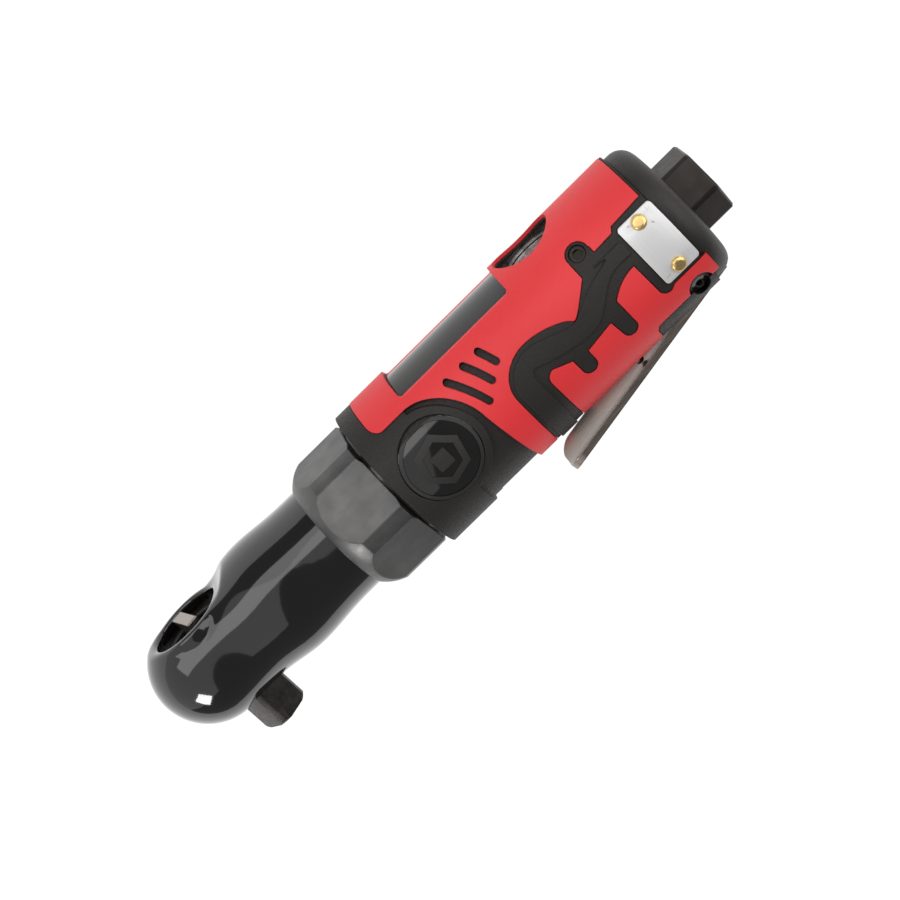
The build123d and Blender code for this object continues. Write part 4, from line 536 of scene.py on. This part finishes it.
def domed_badges():
    """Black domed discs with a raised rim and a plain motif: a hexagon round a square hole."""
    radius = nodes["side_badges"].dimensions.x / 2 / MM
    centre = middle_of("side_badges")
    pieces = []
    for side in (1, -1):
        low, high = sorted((side * (BADGE_CROWN - BADGE_DEPTH), side * (BADGE_CROWN + CUT_OVER)))
        disc = prism(ROUND_SIDES, radius, low, high, centre)
        solid_cut(disc, dome(centre, BADGE_CROWN), "INTERSECT")
        for outer, inner, corners in MOTIF:
            ridge = prism(corners, radius * outer, low, high, centre, math.pi / 4)
            if inner:
                hole = prism(corners, radius * inner, low - CUT_OVER, high + CUT_OVER, centre, math.pi / 4)
                solid_cut(ridge, hole, "DIFFERENCE")
            solid_cut(ridge, dome(centre, BADGE_CROWN + MOTIF_RISE), "INTERSECT")
            ridge.data.materials.append(FINISHES["badge_motif"])
            pieces.append(ridge)
        disc.data.materials.append(FINISHES["badge_black"])
        pieces.append(disc)
    for piece in pieces:
        only(piece)
        bpy.ops.object.shade_smooth_by_angle(angle=math.radians(30))
    only(pieces[-1])
    for piece in pieces:
        piece.select_set(True)
    bpy.ops.object.join()
    badge = bpy.context.object
    badge.name = "domed_badges"
    stands_for(badge, "side_badges")


def domed_rivets():
    """Round brass pin heads of the name plate."""
    heads = []
    for angle in RIVET_ANGLES:
        outward = Vector((0, math.sin(math.radians(angle)), math.cos(math.radians(angle))))
        bpy.ops.object.select_all(action="DESELECT")
        bpy.ops.mesh.primitive_cylinder_add(
            vertices=64, radius=RIVET_R * MM, depth=2 * RIVET_RISE * MM,
            rotation=(-math.radians(angle), 0, 0),
            location=Vector((middle_of("name_plate").x, 0, 0)) + outward * RIVET_SEAT * MM)
        bpy.ops.object.transform_apply(location=True, rotation=True, scale=True)
        head = bpy.context.object
        bpy.ops.object.mode_set(mode="EDIT")
        bpy.ops.mesh.select_all(action="DESELECT")
        bpy.ops.object.mode_set(mode="OBJECT")
        for face in head.data.polygons:
            face.select = face.normal.dot(outward) > 0.9
        bpy.ops.object.mode_set(mode="EDIT")
        bpy.ops.mesh.bevel(offset=0.92 * RIVET_RISE * MM, segments=8)
        bpy.ops.object.mode_set(mode="OBJECT")
        bpy.ops.object.shade_smooth_by_angle(angle=SHARP)
        heads.append(head)
    for head in heads:
        head.select_set(True)
    bpy.ops.object.join()
    rivets = bpy.context.object
    rivets.name = "domed_rivets"
    rivets.data.materials.append(FINISHES["brass"])
    stands_for(rivets, "plate_rivets")


enamelled_head()
domed_badges()
domed_rivets()
for node, width in ROUNDED_EDGES.items():
    softened(node, width)


# ---------------------------------------------------------------- floor and light
def make_floor():
    """White table that the tool lies on, far larger than the picture."""
    low = cad_box[0].z
    bpy.ops.object.select_all(action="DESELECT")
    bpy.ops.mesh.primitive_plane_add(size=6.0, location=(0.07, 0, low - 0.0005))
    floor = bpy.context.object
    floor.name = "floor"
    made, tree, shader, place = start("white_paper", Roughness=0.9, Emission_Strength=0.97)
    shader.inputs["Emission Color"].default_value = linear("ffffff")
    two_tone(tree, shader, clouds(tree, place, 60.0), "4e4e4e", "525252")
    floor.data.materials.append(made)


def softbox(name, direction, distance, width, height, radiance, middle):
    """A square diffuser that looks at one point of the tool."""
    data = bpy.data.lights.new(name, "AREA")
    data.shape = "RECTANGLE"
    data.size = width
    data.size_y = height
    data.energy = radiance * math.pi * width * height
    lamp = bpy.data.objects.new(name, data)
    bpy.context.scene.collection.objects.link(lamp)
    away = Vector(direction).normalized()
    lamp.location = middle + away * distance
    lamp.rotation_euler = away.to_track_quat("Z", "Y").to_euler()
    return lamp


def make_light():
    world = bpy.data.worlds.new("studio")
    bpy.context.scene.world = world
    world.use_nodes = True
    world.node_tree.nodes["Background"].inputs["Color"].default_value = (1, 1, 1, 1)
    world.node_tree.nodes["Background"].inputs["Strength"].default_value = 0.2
    middle = (cad_box[0] + cad_box[1]) / 2
    softbox("key", (-0.66, -0.42, 0.62), 0.13, 0.05, 0.045, 14.0, Vector((-0.008, -0.004, 0.008)))
    softbox("side", (-0.1, 0.72, 0.7), 0.9, 1.2, 0.45, 1.7, middle)
    softbox("rear", (0.75, 0.1, 0.65), 1.0, 1.2, 1.2, 1.9, middle)
    softbox("front", (-0.75, 0.2, 0.6), 1.3, 2.6, 2.4, 0.55, middle)
    bpy.context.scene.view_settings.view_transform = "Standard"


make_floor()
make_light()
